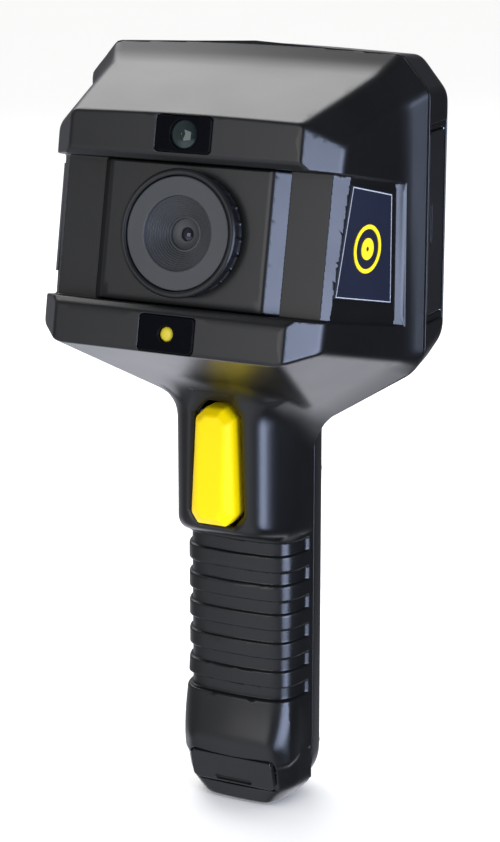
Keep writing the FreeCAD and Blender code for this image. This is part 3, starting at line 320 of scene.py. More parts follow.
# The underside of the head: a facet in the middle and one at each side, which meet at the bar's lower corner
BAR_LOW = -39.4
UNDER_MIDDLE_Z = 148.0
bar_corner = LENS + ACROSS * 42 + BACK * 1 + UP * BAR_LOW
under_middle = [LENS + ACROSS * x + UP * BAR_LOW for x in (-20, 20)] + [(0, FLANGE_Y, UNDER_MIDDLE_Z)]
under_side = [bar_corner, (57.5, FLANGE_Y, 168.2), (24, FLANGE_Y, 146)]
underside = [through(*under_middle), through(*under_side)]
front_slope = skin(leaning(FACE, 0), leaning(SHOULDER, SHOULDER_D), close=False)
front_side = skin(leaning(SHOULDER, SHOULDER_D), upright(FLANGE_TOP, FLANGE_Y), close=False) + underside
flange = skin(upright(FLANGE_IN, FLANGE_Y), upright(FLANGE_OUT, SEAM))
head_hollow = skin(leaning(HOLLOW_FACE, HOLLOW_D), upright(HOLLOW_IN[:4], FLANGE_Y), close=False)
head_hollow += [through(*facet, inwards=3.0) for facet in (under_middle, under_side)]
flange_hollow = skin(upright(HOLLOW_IN, FLANGE_Y), upright(HOLLOW_OUT, SEAM))
foot = skin(level(FOOT_SOLE, 0), level(FOOT_LOW, 7.5), level(FOOT_HIGH, 26), level(GRIP, 40))
grip = skin(level(GRIP, 30), level(GRIP, 110))
guard = skin(level(GUARD, 100), level(GUARD, 180))
grip_hollow = skin(level(GRIP_HOLLOW, 10), level(GRIP_HOLLOW, 110))
guard_hollow = skin(level(GUARD_HOLLOW, 100), level(GUARD_HOLLOW, 180))
rear_side = skin(upright(FLANGE_OUT, SEAM), upright(REAR_EDGE, REAR_EDGE_Y))
rear_slope = skin(upright(REAR_EDGE, REAR_EDGE_Y), upright(REAR_FLAT, BACK_Y))
rear_hollow = skin(upright(HOLLOW_OUT, SEAM), upright(HOLLOW_REAR, 20), upright(HOLLOW_BACK, REAR_HOLLOW_Y))
heel = skin(level(HEEL_SOLE, 0), level(HEEL, 12), level(HEEL, 166))
heel_hollow = skin(level(HEEL_HOLLOW, 10), level(HEEL_HOLLOW, 166))
trigger_rim = skin(upright(TRIGGER_RIM, -40), upright(TRIGGER_RIM, -10))

# Radii of edges and fillets
EDGE = 1.2
CRISP = 0.7
FACET = 1.6
NECK = 9.0

GUARD_LOW = 103.5
GROOVE_LOW = 42.3
GROOVE_PITCH = 10.8
GROOVE_HIGH = 4.9
GROOVE_DEEP = 1.1
GROOVE_COUNT = 6
GROOVE_END_Y = 2.1
FLOOR_Z = 8.6
# The mouth round the trigger: its clearance, and how far its bevelled lip reaches out and back
MOUTH_GAP = 1.5
LIP_REACH = 4.0
LIP_DEEP = 1.5
LIP_TOP = 158


def grip_body(p):
    """The grip before it is ribbed."""
    return hull(p, grip, FACET)


def handle_front(p):
    """Foot, ribbed grip and trigger guard, with fillets that fade out where the sides are flush."""
    fade = np.clip((-3 - p.y) / 7, 0.01, 1)
    grip_part = meet(1.0, grip_body(p), slab(p.z, 20, 116))
    foot_part = meet(2.0, hull(p, foot, FACET), -p.z)
    # the guard's underside slopes up towards its front
    under_guard = -(p.z - GUARD_LOW) * 0.972 - (p.y + 13.5) * 0.233
    guard_part = meet(5.0, hull(p, guard, FACET), under_guard)
    guard_part = meet(1.0, guard_part, p.z - 205)
    return join(2.5 * fade, join(5.0 * fade, grip_part, foot_part), guard_part)


def slot_between_bars(p):
    """The long slot across the front, with the bars' inner edges bevelled."""
    def bank(side):
        return np.minimum(side, (side + p.d - SLOT_BEVEL) / math.sqrt(2))
    return np.maximum(bank(p.w - SLOT_TOP), bank(SLOT_BOTTOM - p.w))


def label_recess(p):
    """The recess at each side: its floor, its lit rear wall and the chamfer at its front."""
    floor = -((p.side - 51.2) * 0.987 - (p.y + 46) * 0.160)
    rear_wall = -((p.side - 57.2) * 0.788 - (p.y + 7.65) * 0.616)
    pocket = np.maximum(np.maximum(floor, rear_wall), p.y + 4.2)
    chamfer = -((p.side - 51.8) - (p.d - CHEEK_D) + 2.9) / math.sqrt(2)
    return np.minimum(pocket, chamfer)


def window_pocket(p, window):
    """The seat of a window's pane and the room behind it."""
    low, high = window
    seat = np.maximum(rounded_box(p.x, p.w, 10.3, low, high, 1.5), p.d - PANE_THICK)
    room = np.maximum(rounded_box(p.x, p.w, 9.2, low + 1.1, high - 1.1, 0.5), slab(p.d, -2, 15.7))
    return np.minimum(seat, room)


def tripod_insert(p):
    """The hole in the sole for the brass insert."""
    return np.maximum(np.hypot(p.x, p.y) - 5.3, p.z - 8)


# The foot's flap: where the top of its face is, its lean in degrees, and its pin's (depth, rise) from there
FLAP_Y = -16.2
FLAP_Z = 19.4
FLAP_LEAN = 15.1
FLAP_PIN = (1, -1)
# The side cover's pin, across and along y
SIDE_PIN = (63.3, 19.2)
PIN_RADIUS = 0.5


def flap_place(p):
    """Depth behind the foot's leaning front and height above the top of the flap."""
    lean = math.radians(FLAP_LEAN)
    y, z = p.y - FLAP_Y, p.z - FLAP_Z
    return y * math.cos(lean) + z * math.sin(lean), z * math.cos(lean) - y * math.sin(lean)


def front_shell(p):
    """The front half: head with its bars and recesses, neck, trigger guard and ribbed handle."""
    head = meet(EDGE, hull(p, front_side, 1.6), meet(CRISP, -p.d, hull(p, front_slope, EDGE)))
    head = join(1.4, head, meet(1.0, hull(p, flange, EDGE), -p.y - 20))
    body = join(NECK, head, handle_front(p))
    hollow = join(
        1.0,
        meet(2.0, hull(p, head_hollow, 2.0), HOLLOW_D - p.d),
        meet(1.0, hull(p, flange_hollow, 1.0), FLANGE_Y - 1 - p.y),
        meet(1.0, hull(p, grip_hollow, 1.0), FLOOR_Z - p.z, p.z - 112),
        meet(1.0, hull(p, guard_hollow, 1.0), 108 - p.z, p.z - 170),
    ) + 0.7
    cheeks = meet(CRISP, slot_between_bars(p), np.minimum(p.d - CHEEK_D, label_recess(p)))
    bore = np.maximum(np.hypot(p.x, p.w) - LENS_BORE, slab(p.d, 10, 17))
    # the mouth round the trigger, with a bevelled lip
    rim = hull(p, trigger_rim, 0.4)
    mouth = np.maximum(rim - MOUTH_GAP, slab(p.y, -60, -14))
    lip = (rim - LIP_REACH + 1.7 * (p.y - GUARD_Y)) / 2
    lip = np.maximum(np.maximum(lip, slab(p.y, GUARD_Y - 3, GUARD_Y + LIP_DEEP)), p.z - LIP_TOP)
    # the pocket of the flap and the sockets behind it
    depth, rise = flap_place(p)
    pocket = np.maximum(rounded_box(p.x, rise, 16.85, -15, 0.35, 2.6), slab(depth, -6, 2.3))
    pocket = np.maximum(pocket, 7.0 - p.z)
    ports = np.maximum(rounded_box(p.x, rise, 13, -10.4, -2.6, 0.4), slab(depth, 0, 12))
    # grooves round the grip, cut right across its front and ending in sloping walls near the seam
    nearest = np.clip(np.round((p.z - GROOVE_LOW - GROOVE_HIGH / 2) / GROOVE_PITCH), 0, GROOVE_COUNT - 1)
    middle = GROOVE_LOW + GROOVE_HIGH / 2 + nearest * GROOVE_PITCH
    end_wall = np.minimum(-((p.side - 23.4) * 0.7 - (p.y - GROOVE_END_Y) * 0.714), p.y + 5)
    groove = meet(0.5, -(grip_body(p) + GROOVE_DEEP), np.abs(p.z - middle) - GROOVE_HIGH / 2, end_wall)
    solid = carve(CRISP, body, cheeks)
    solid = carve(0.6, solid, groove, lip, mouth, pocket)
    solid = carve(
        0.3, solid, window_pocket(p, CAMERA_WINDOW), window_pocket(p, LAMP_WINDOW), bore, ports,
        tripod_insert(p), hollow,
    )
    return meet(0.35, solid, p.y - SEAM + SEAM_HALF)


# Screws in the rear shell: across, height, plane under the head
SCREWS = [(54, 243, 25), (54, 183, 25), (17, 122, 17), (17, 17, 17)]
SCREW_HEAD = 2.8
SCREW_SHANK = 1.5
SIDE_FLOOR = 63.4
KEY_GAP = 0.4
KEY_RISE = 1.2
KEY_ROW = 176.0
KEY_PITCH = 10.5
KEY_SIDE = 32.0
# Keys: across, up from the row, half width, half height, whether round
KEYS = {
    "key_ok": (0, 0, 5, 5, True),
    "key_up": (0, KEY_PITCH, 4.5, 2.5, False),
    "key_down": (0, -KEY_PITCH, 4.5, 2.5, False),
    "key_left": (-KEY_PITCH, 0, 2.5, 4.5, False),
    "key_right": (KEY_PITCH, 0, 2.5, 4.5, False),
    "key_back": (-KEY_SIDE, 0, 5, 5, True),
    "key_power": (KEY_SIDE, 0, 5, 5, True),
}


def key_outline(p, name, gap):
    """A key's outline, with a gap round it."""
    across, up, half_x, half_z, is_round = KEYS[name]
    if is_round:
        return np.hypot(p.x - across, p.z - KEY_ROW - up) - half_x - gap
    low, high = KEY_ROW + up - half_z - gap, KEY_ROW + up + half_z + gap
    return rounded_box(p.x - across, p.z, half_x + gap, low, high, 1.0 + gap)


def rear_shell(p):
    """The rear half: head with its display and keys, handle, and the recess in its side."""
    head = meet(2.2, hull(p, rear_side, FACET), hull(p, rear_slope, 2.0), p.y - BACK_Y)
    handle = meet(2.0, meet(1.5, hull(p, heel, 2.5), p.z - 200), -p.z)
    body = join(6.0, head, handle)
    head_hollow_rear = meet(1.0, hull(p, rear_hollow, 1.0), p.y - REAR_HOLLOW_Y)
    hollow = join(1.0, head_hollow_rear, meet(1.0, hull(p, heel_hollow, 1.0), FLOOR_Z - p.z, p.z - 166))
    # the long recess in the side, with sloping ends, and the pocket of its cover
    ends = (slab(p.z, 181, 250) + (p.side - SIDE_FLOOR)) / math.sqrt(2)
    side_recess = np.maximum(np.maximum(SIDE_FLOOR - p.x, slab(p.y, 5.4, 21.4)), ends)
    side_pocket = np.maximum(rounded_box(p.y - 13.15, p.z, 7.15, 184, 247, 1.6), 62.2 - p.x)
    side_hole = np.maximum(rounded_box(p.y - 13, p.z, 4, 205, 225, 0.5), 55 - p.x)
    # display: a shallow dish, the seat of the glass and the window behind it
    dish = np.maximum(rounded_box(p.x, p.z, 50, 189.5, 264.5, 5) - (p.y - BACK_Y), 26.3 - p.y) / 1.2
    seat = np.maximum(rounded_box(p.x, p.z, 45.3, 192.7, 261.3, 2.5), 25 - p.y)
    opening = np.maximum(rounded_box(p.x, p.z, 42, 196, 258, 1), 19 - p.y)
    key_holes = [np.maximum(key_outline(p, name, KEY_GAP), 21 - p.y) for name in KEYS]
    sinks = []
    for across, high, head_y in SCREWS:
        from_screw = np.hypot(p.side - across, p.z - high)
        sinks.append(np.maximum(from_screw - SCREW_HEAD, head_y - p.y))
        sinks.append(np.maximum(from_screw - SCREW_SHANK, -p.y))
    solid = carve(0.8, body, side_recess, dish)
    holes = [side_pocket, side_hole, seat, opening, tripod_insert(p), hollow, *key_holes, *sinks]
    solid = carve(0.4, solid, *holes)
    return meet(0.35, solid, SEAM + SEAM_HALF - p.y)


# ---------------------------------------------------------------------------------------------
# Smaller moulded pieces
# ---------------------------------------------------------------------------------------------

def lens_plate(p):
    """The raised plate round the lens: its sides fall away at 45 degrees."""
    sides = (p.side - 30 - (p.d - 7.5)) / math.sqrt(2)
    face = meet(0.8, 7.5 - p.d, sides, slab(p.w, -23.8, 23.0))
    hole = np.hypot(p.x, p.w) - LENS_BORE
    return meet(0.2, carve(0.6, face, hole), p.d - 12.2)


# Height at which the depths of the trigger hold
TRIGGER_MIDDLE = 131.0


def leaning_outline(outline, y, lean):
    """A trigger outline on a plane that leans back towards its top."""
    turn = math.radians(lean)
    base = y - TRIGGER_MIDDLE * math.sin(turn)
    return [np.array((x, base + up * math.sin(turn), up * math.cos(turn))) for x, up in outline]


TRIGGER_LEAN = 3.5
TRIGGER_BACK_Y = -17.0
TRIGGER_EDGE_Y = -28.2
TRIGGER_FACE_Y = -31.3
trigger_back = leaning_outline(TRIGGER_RIM, TRIGGER_BACK_Y, 0)
trigger_edge = leaning_outline(TRIGGER_RIM, TRIGGER_EDGE_Y, TRIGGER_LEAN)
trigger_face = leaning_outline(TRIGGER_FRONT, TRIGGER_FACE_Y, TRIGGER_LEAN)
trigger_sides = skin(trigger_back, trigger_edge)
trigger_bevel = skin(trigger_edge, trigger_face)


def trigger_body(p):
    """The trigger, with a bevel all round its face and a bore for its pin."""
    lean = math.radians(TRIGGER_LEAN)
    face = -((p.y - TRIGGER_FACE_Y) * math.cos(lean) - (p.z - TRIGGER_MIDDLE) * math.sin(lean))
    solid = meet(0.8, hull(p, trigger_bevel, 0.4), face)
    solid = meet(0.7, solid, hull(p, trigger_sides, 0.4))
    bore = np.hypot(p.y + 20, p.z - 149) - 1.55
    return meet(0.3, solid, p.y - TRIGGER_BACK_Y, -bore)


def base_flap(p):
    """The flap in the foot, with a slot for a fingernail."""
    depth, rise = flap_place(p)
    plate = meet(0.5, rounded_box(p.x, rise, 16.45, -12.1, -0.05, 2.2), -depth)
    nail = np.hypot(np.maximum(np.abs(p.x) - 6.3, 0), rise + 10.3) - 1.0
    nail_slot = np.maximum(nail, depth - 1.1)
    solid = carve(0.35, plate, nail_slot)
    bore = np.hypot(depth - FLAP_PIN[0], rise - FLAP_PIN[1]) - PIN_RADIUS - 0.05
    return meet(0.15, solid, depth - 2.0, -bore)


def flap_pin(p):
    """The pin of the foot's flap, with domed ends."""
    depth, rise = flap_place(p)
    return meet(0.4, np.hypot(depth - FLAP_PIN[0], rise - FLAP_PIN[1]) - PIN_RADIUS, p.side - 15.6)


def side_flap(p):
    """The long cover in the side, with a slot for a fingernail."""
    plate = meet(0.5, rounded_box(p.y - 13.1, p.z, 6.8, 184.35, 246.65, 1.5), p.x - 64.05)
    grip_slot = np.hypot(p.y - 8.6, np.maximum(np.abs(p.z - 215.5) - 6, 0)) - 0.9
    solid = carve(0.3, plate, np.maximum(grip_slot, SIDE_FLOOR - p.x))
    bore = np.hypot(p.x - SIDE_PIN[0], p.y - SIDE_PIN[1]) - PIN_RADIUS
    return meet(0.15, solid, 62.5 - p.x, -bore)


def key_cap(name):
    """The distance function of one key."""
    across, up, half_x, half_z, is_round = KEYS[name]

    def cap(p):
        """A key with a round rim and a slightly dished top."""
        dish = 0.35 * np.exp(-((p.x - across) ** 2 + (p.z - KEY_ROW - up) ** 2) / 9)
        return meet(0.9, key_outline(p, name, 0), p.y - BACK_Y - KEY_RISE + dish, BACK_Y - 3 - p.y)
    return cap


# ---------------------------------------------------------------------------------------------
# Turned pieces of the lens, camera and lamp
# ---------------------------------------------------------------------------------------------

def turned(name, profile, segments, middle=0.0, shape=None):
    """Turn a profile of (radius, depth) about an axis at height "middle". A shape may change the radius."""
    build = bmesh.new()
    rings = []
    for number, (radius, depth) in enumerate(profile):
        if radius == 0:
            rings.append([build.verts.new((LENS + BACK * depth + UP * middle) * MM)] * segments)
            continue
        ring = []
        for i in range(segments):
            angle = 2 * math.pi * i / segments
            reach = radius if shape is None else shape(radius, depth, angle)
            spot = LENS + BACK * depth + ACROSS * reach * math.cos(angle)
            spot = spot + UP * (middle + reach * math.sin(angle))
            ring.append(build.verts.new(spot * MM))
        rings.append(ring)
    for near, far in zip(rings, rings[1:]):
        for i in range(segments):
            after = (i + 1) % segments
            corners = list(dict.fromkeys((near[i], near[after], far[after], far[i])))
            build.faces.new(corners).smooth = True
    bmesh.ops.recalc_face_normals(build, faces=build.faces)
    mesh = bpy.data.meshes.new(name)
    build.to_mesh(mesh)
    build.free()
    mesh.set_sharp_from_angle(angle=math.radians(38))
    return add_object(name, mesh)


def bow(start, end, bulge, count):
    """Points of a shallow arc from one (radius, depth) to another."""
    (r0, d0), (r1, d1) = start, end
    length = math.hypot(r1 - r0, d1 - d0)
    across = ((d1 - d0) / length, -(r1 - r0) / length)
    points = []
    for i in range(count + 1):
        t = i / count
        lift = bulge * 4 * t * (1 - t)
        points.append((r0 + (r1 - r0) * t + across[0] * lift, d0 + (d1 - d0) * t + across[1] * lift))
    return points


NOTCHES = 24
RING_OUTER = 21.2


def notched(radius, depth, angle):
    """The focus ring's side is scalloped behind its rim."""
    if radius < RING_OUTER - 0.3 or depth < 2.4:
        return radius
    turn = (angle * NOTCHES / (2 * math.pi)) % 1
    along = abs(turn - 0.5) * 2 * math.pi * RING_OUTER / NOTCHES / 2
    half_wide, deep = 1.45, 1.0
    if along > half_wide:
        return radius
    return radius - deep * min(1.0, (half_wide - along) / 0.45)


def plate(name, corners, lift, edge, bands=()):
    """A thin plate on flat corners, raised by a vector, with its upper edges bevelled.

    Bands run round its face from the rim inwards. Each has a width and the number of its material.
    """
    build = bmesh.new()
    base = build.faces.new([build.verts.new(np.array(corner) * MM) for corner in corners])
    raised = bmesh.ops.extrude_face_region(build, geom=[base])["geom"]
    tops = [item for item in raised if isinstance(item, bmesh.types.BMVert)]
    bmesh.ops.translate(build, verts=tops, vec=Vector(lift) * MM)
    top = next(item for item in raised if isinstance(item, bmesh.types.BMFace))
    rim = list(top.edges)
    for width, number in bands:
        for face in bmesh.ops.inset_individual(build, faces=[top], thickness=width * MM)["faces"]:
            face.material_index = number
    bmesh.ops.bevel(build, geom=rim, offset=edge * MM, segments=2, profile=0.6, affect="EDGES")
    bmesh.ops.recalc_face_normals(build, faces=build.faces)
    mesh = bpy.data.meshes.new(name)
    build.to_mesh(mesh)
    build.free()
    return add_object(name, mesh)


def round_corners(half_x, low, high, corner, count=6):
    """The corners of a rectangle with round corners, anticlockwise."""
    points = []
    for turn, (x, y) in enumerate((
        (half_x - corner, high - corner), (corner - half_x, high - corner),
        (corner - half_x, low + corner), (half_x - corner, low + corner),
    )):
        for i in range(count + 1):
            angle = math.pi / 2 * (turn + i / count)
            points.append((x + corner * math.cos(angle), y + corner * math.sin(angle)))
    return points


def pane(window, hole):
    """A window in a bar: a polished pane with round corners and a round opening."""
    low, high = window

    def solid(p):
        sheet = meet(0.35, rounded_box(p.x, p.w, 10.15, low + 0.15, high - 0.15, 1.4), -p.d)
        from_middle = np.hypot(p.x, p.w - (low + high) / 2)
        return meet(0.15, carve(0.3, sheet, from_middle - hole), p.d - PANE_THICK)
    return solid


# ---------------------------------------------------------------------------------------------
# Materials
# ---------------------------------------------------------------------------------------------

def colour(code):
    """An sRGB hex colour as a linear one."""
    levels = [int(code[i:i + 2], 16) / 255 for i in (1, 3, 5)]
    linear = [v / 12.92 if v <= 0.04045 else ((v + 0.055) / 1.055) ** 2.4 for v in levels]
    return (*linear, 1.0)


def add(tree, kind, inputs=None, **settings):
    """Add a node with its settings, and set or link its inputs."""
    node = tree.nodes.new(kind)
    for name, value in settings.items():
        setattr(node, name, value)
    for name, value in (inputs or {}).items():
        if isinstance(value, bpy.types.NodeSocket):
            tree.links.new(value, node.inputs[name])
        else:
            node.inputs[name].default_value = value
    return node


def finish(name, dark, light, rough, grain, depth, patch=25.0, metallic=0.0, **shader):
    """A material whose colour and roughness drift over patches, with a grain of a real size in the surface.

    rough is the (lowest, highest) roughness, grain and depth are the size of the surface's grain in mm,
    and patch is the size of the slow drift in mm.
    """
    material = bpy.data.materials.new(name)
    material.use_nodes = True
    tree = material.node_tree
    tree.nodes.clear()
    place = add(tree, "ShaderNodeTexCoord").outputs["Object"]
    drift = add(tree, "ShaderNodeTexNoise", {"Vector": place, "Scale": 1 / (patch * MM), "Detail": 3.0})
    speck = add(tree, "ShaderNodeTexNoise", {
        "Vector": place, "Scale": 1 / (grain * MM), "Detail": 4.0, "Roughness": 0.6,
    })
    mixed = add(tree, "ShaderNodeMath", {0: drift.outputs["Fac"], 1: speck.outputs["Fac"]}, operation="ADD")
    span = {"From Min": 0.6, "From Max": 1.4}
    tone = add(tree, "ShaderNodeMapRange", {"Value": mixed.outputs[0], **span})
    ramp = add(tree, "ShaderNodeValToRGB", {"Fac": tone.outputs[0]})
    ramp.color_ramp.elements[0].color = colour(dark)
    ramp.color_ramp.elements[1].color = colour(light)
    gloss = add(tree, "ShaderNodeMapRange", {
        "Value": mixed.outputs[0], **span, "To Min": rough[0], "To Max": rough[1],
    })
    bump = add(tree, "ShaderNodeBump", {
        "Height": speck.outputs["Fac"], "Strength": 1.0, "Distance": depth * MM,
    })
    surface = add(tree, "ShaderNodeBsdfPrincipled", {
        "Base Color": ramp.outputs["Color"], "Roughness": gloss.outputs[0], "Normal": bump.outputs["Normal"],
        "Metallic": metallic, **{key.replace("_", " "): value for key, value in shader.items()},
    })
    add(tree, "ShaderNodeOutputMaterial", {"Surface": surface.outputs[0]})
    return material


def make_materials(shells, accents):
    """Every finish on the object."""
    made = MATERIALS
    # ABS and polycarbonate, moulded against a spark-eroded mould: a fine satin grain that spreads highlights.
    # The real grain is about 0.1 mm, and it is drawn at 0.3 mm so that it shows.
    made["shell"] = finish(
        "satin_black_polycarbonate", shells.dark, shells.light, (0.31, 0.38), 0.3, 0.008, IOR=1.55,
    )
    # The same plastic without paint on smaller mouldings, a little duller than the shells.
    made["flap_plastic"] = finish(
        "satin_black_flap", "#101112", "#18191A", (0.42, 0.52), 0.3, 0.012, IOR=1.55,
    )
    # Silicone rubber, moulded: black and matt.
    made["seal_rubber"] = finish(
        "black_silicone_rubber", "#0B0B0C", "#121213", (0.6, 0.75), 0.4, 0.02, IOR=1.43,
    )
    # Silicone keys with a matt lacquer.
    made["key_rubber"] = finish("grey_silicone_keys", "#2A2B2D", "#333436", (0.5, 0.6), 0.25, 0.015, IOR=1.43)
    # Aluminium, turned and anodised black. The dyed oxide hides the metal, so it shines like a satin plastic.
    made["black_anodised"] = finish(
        "black_anodised_aluminium", "#101113", "#18191B", (0.36, 0.44), 0.2, 0.006, IOR=1.5,
    )
    # The nose inside the ring is bead-blasted before it is dyed: greyer and duller.
    made["blasted_nose"] = finish(
        "blasted_dark_aluminium", "#2B2E31", "#34373B", (0.42, 0.52), 0.2, 0.01, IOR=1.6,
    )
    # Germanium with a hard coating: dark and mirror-like.
    made["infrared_glass"] = finish(
        "coated_germanium", "#3A3C44", "#4A4C58", (0.04, 0.07), 0.5, 0.0005, metallic=0.8,
    )
    # Optical glass over a black iris: polished, with a faint green coating.
    made["clear_glass"] = finish(
        "coated_optical_glass", "#14191B", "#1C2426", (0.05, 0.09), 0.8, 0.0005, IOR=1.6, Coat_Weight=0.3,
        Coat_Roughness=0.03, Coat_Tint=colour("#9FE8C8"),
    )
    # Acrylic window, printed black behind and polished.
    made["window_black"] = finish(
        "polished_black_acrylic", "#06070A", "#0A0A0E", (0.05, 0.1), 1.0, 0.0006, IOR=1.49,
        Specular_IOR_Level=0.06,
    )
    # Epoxy lens over phosphor: dull yellow.
    made["lamp_yellow"] = finish("phosphor_epoxy", "#A89A1C", "#C4B52A", (0.25, 0.35), 0.4, 0.02, IOR=1.5)
    # Printed polyester film: dark blue, with an even satin.
    made["label_print"] = finish(
        "printed_navy_film", "#171C2C", "#1C2134", (0.3, 0.38), 0.25, 0.003, IOR=1.57,
    )
    # Silver ink on the film.
    made["label_silver"] = finish("silver_ink", "#B9BEC6", "#CDD2D8", (0.3, 0.4), 0.2, 0.003, metallic=0.35)
    # Yellow screen-printed ink.
    made["emblem_yellow"] = finish(
        "yellow_ink", accents.emblem, accents.emblem, (0.4, 0.5), 0.2, 0.003, IOR=1.5,
    )
    # ABS coloured in the mass: bright yellow, satin gloss.
    made["trigger_yellow"] = finish(
        "yellow_satin_abs", accents.trigger, accents.trigger_light, (0.36, 0.44), 0.3, 0.006, IOR=1.54,
        Specular_IOR_Level=0.12, Subsurface_Weight=0.05, Subsurface_Scale=0.001,
    )
    # Toughened glass over a black border.
    made["display_glass"] = finish(
        "toughened_black_glass", "#050507", "#08080B", (0.03, 0.06), 1.5, 0.0004, IOR=1.52,
    )
    # Films and glass bonded into one panel: dark, with a soft gloss.
    made["display_stack"] = finish("laminated_display", "#15161A", "#1B1C21", (0.2, 0.3), 0.5, 0.002)
    # Fibreglass board under green solder mask.
    made["circuit_board"] = finish("green_solder_mask", "#0F4A26", "#16602F", (0.3, 0.45), 0.4, 0.01, patch=4)
    # Epoxy moulding compound of the chips: matt black.
    made["chip_black"] = finish("epoxy_chip_body", "#18181A", "#202022", (0.5, 0.65), 0.2, 0.01)
    # Sheet aluminium, pressed: pale and slightly streaked.
    made["bracket_aluminium"] = finish(
        "pressed_aluminium", "#B4B6B9", "#C6C8CB", (0.3, 0.42), 0.3, 0.004, metallic=1.0,
    )
    # Zinc-plated steel: bright grey.
    made["steel"] = finish("zinc_plated_steel", "#A5A6A8", "#BCBDC0", (0.25, 0.38), 0.2, 0.004, metallic=1.0)
    # Turned brass.
    made["brass"] = finish("turned_brass", "#B08A3E", "#C79E4E", (0.22, 0.34), 0.2, 0.004, metallic=1.0)
    # Shrink wrap on the cells: dark blue, slightly wavy.
    made["battery_wrap"] = finish("blue_shrink_wrap", "#16243C", "#1D2E4A", (0.3, 0.4), 2.0, 0.05)
    # Soft PVC over the leads: black and dull.
    made["lead_sheath"] = finish("black_flex_sheath", "#121213", "#1A1A1B", (0.5, 0.6), 0.4, 0.01)


def dress_frame():
    """Give each CAD node that stays in view the material of its own slot."""
    for node in frame["nodes"].values():
        slot = node.data.materials[0].name.split(".")[0]
        node.data.materials.clear()
        node.data.materials.append(MATERIALS[slot])


# ---------------------------------------------------------------------------------------------
# Settings
# ---------------------------------------------------------------------------------------------

class ShellSettings(bpy.types.PropertyGroup):
    dark: bpy.props.StringProperty(
        name="Dark tone", description="Darker sRGB hex tone of the shells", default="#0B0C0D",
    )
    light: bpy.props.StringProperty(
        name="Light tone", description="Lighter sRGB hex tone of the shells", default="#111213",
    )
    step: bpy.props.FloatProperty(
        name="Mesh step", description="Spacing of the shells' mesh", default=0.0005, min=0.0003, max=0.002,
        precision=5, unit="LENGTH",
    )


class AccentSettings(bpy.types.PropertyGroup):
    trigger: bpy.props.StringProperty(
        name="Trigger", description="sRGB hex colour of the trigger", default="#E6C800",
    )
    trigger_light: bpy.props.StringProperty(
        name="Trigger, light", description="Lighter sRGB hex colour of the trigger", default="#EBCE04",
    )
    emblem: bpy.props.StringProperty(
        name="Emblem", description="sRGB hex colour of the mark on the labels", default="#F2D200",
    )


class StageSettings(bpy.types.PropertyGroup):
    floor: bpy.props.StringProperty(
        name="Floor", description="sRGB hex colour of the floor", default="#FBFBFA",
    )
    top_power: bpy.props.FloatProperty(
        name="Top light", description="Power of the light above", default=10.0, min=0.0, unit="POWER",
    )
    side_power: bpy.props.FloatProperty(
        name="Side light", description="Power of the light at the right", default=32.0, min=0.0, unit="POWER",
    )
    distance: bpy.props.FloatProperty(
        name="Camera distance", description="From the camera to its target", default=0.81, unit="LENGTH",
    )


# ---------------------------------------------------------------------------------------------
# Operators
# ---------------------------------------------------------------------------------------------

SHELL_FLATTEN = 0.01


class MakeShells(bpy.types.Operator):
    """Make the two moulded shells"""
    bl_idname = "thermal.make_shells"
    bl_label = "Shells"

    def execute(self, context):
        step = round(context.scene.thermal_shells.step / MM, 3)
        piece = moulded("front_shell", front_shell, (-65, -65, 0), (65, 4, 275), step, SHELL_FLATTEN)
        set_up(piece, "housing", "shell", "front_housing")
        piece = moulded("rear_shell", rear_shell, (-65, 4, 0), (65, 27.2, 275), step, SHELL_FLATTEN)
        set_up(piece, "housing", "shell", "rear_housing")
        return {"FINISHED"}


# The funnel inside the nose: (radius, depth) of its ends, and (inwards, back) of the steps of a rib
FUNNEL = [(11.9, 3.1), (5.7, 7.3)]
FUNNEL_RIBS = 9
FUNNEL_RIB = [(0, 0), (0.22, -0.1), (0.42, 0.05), (0.5, 0.4)]


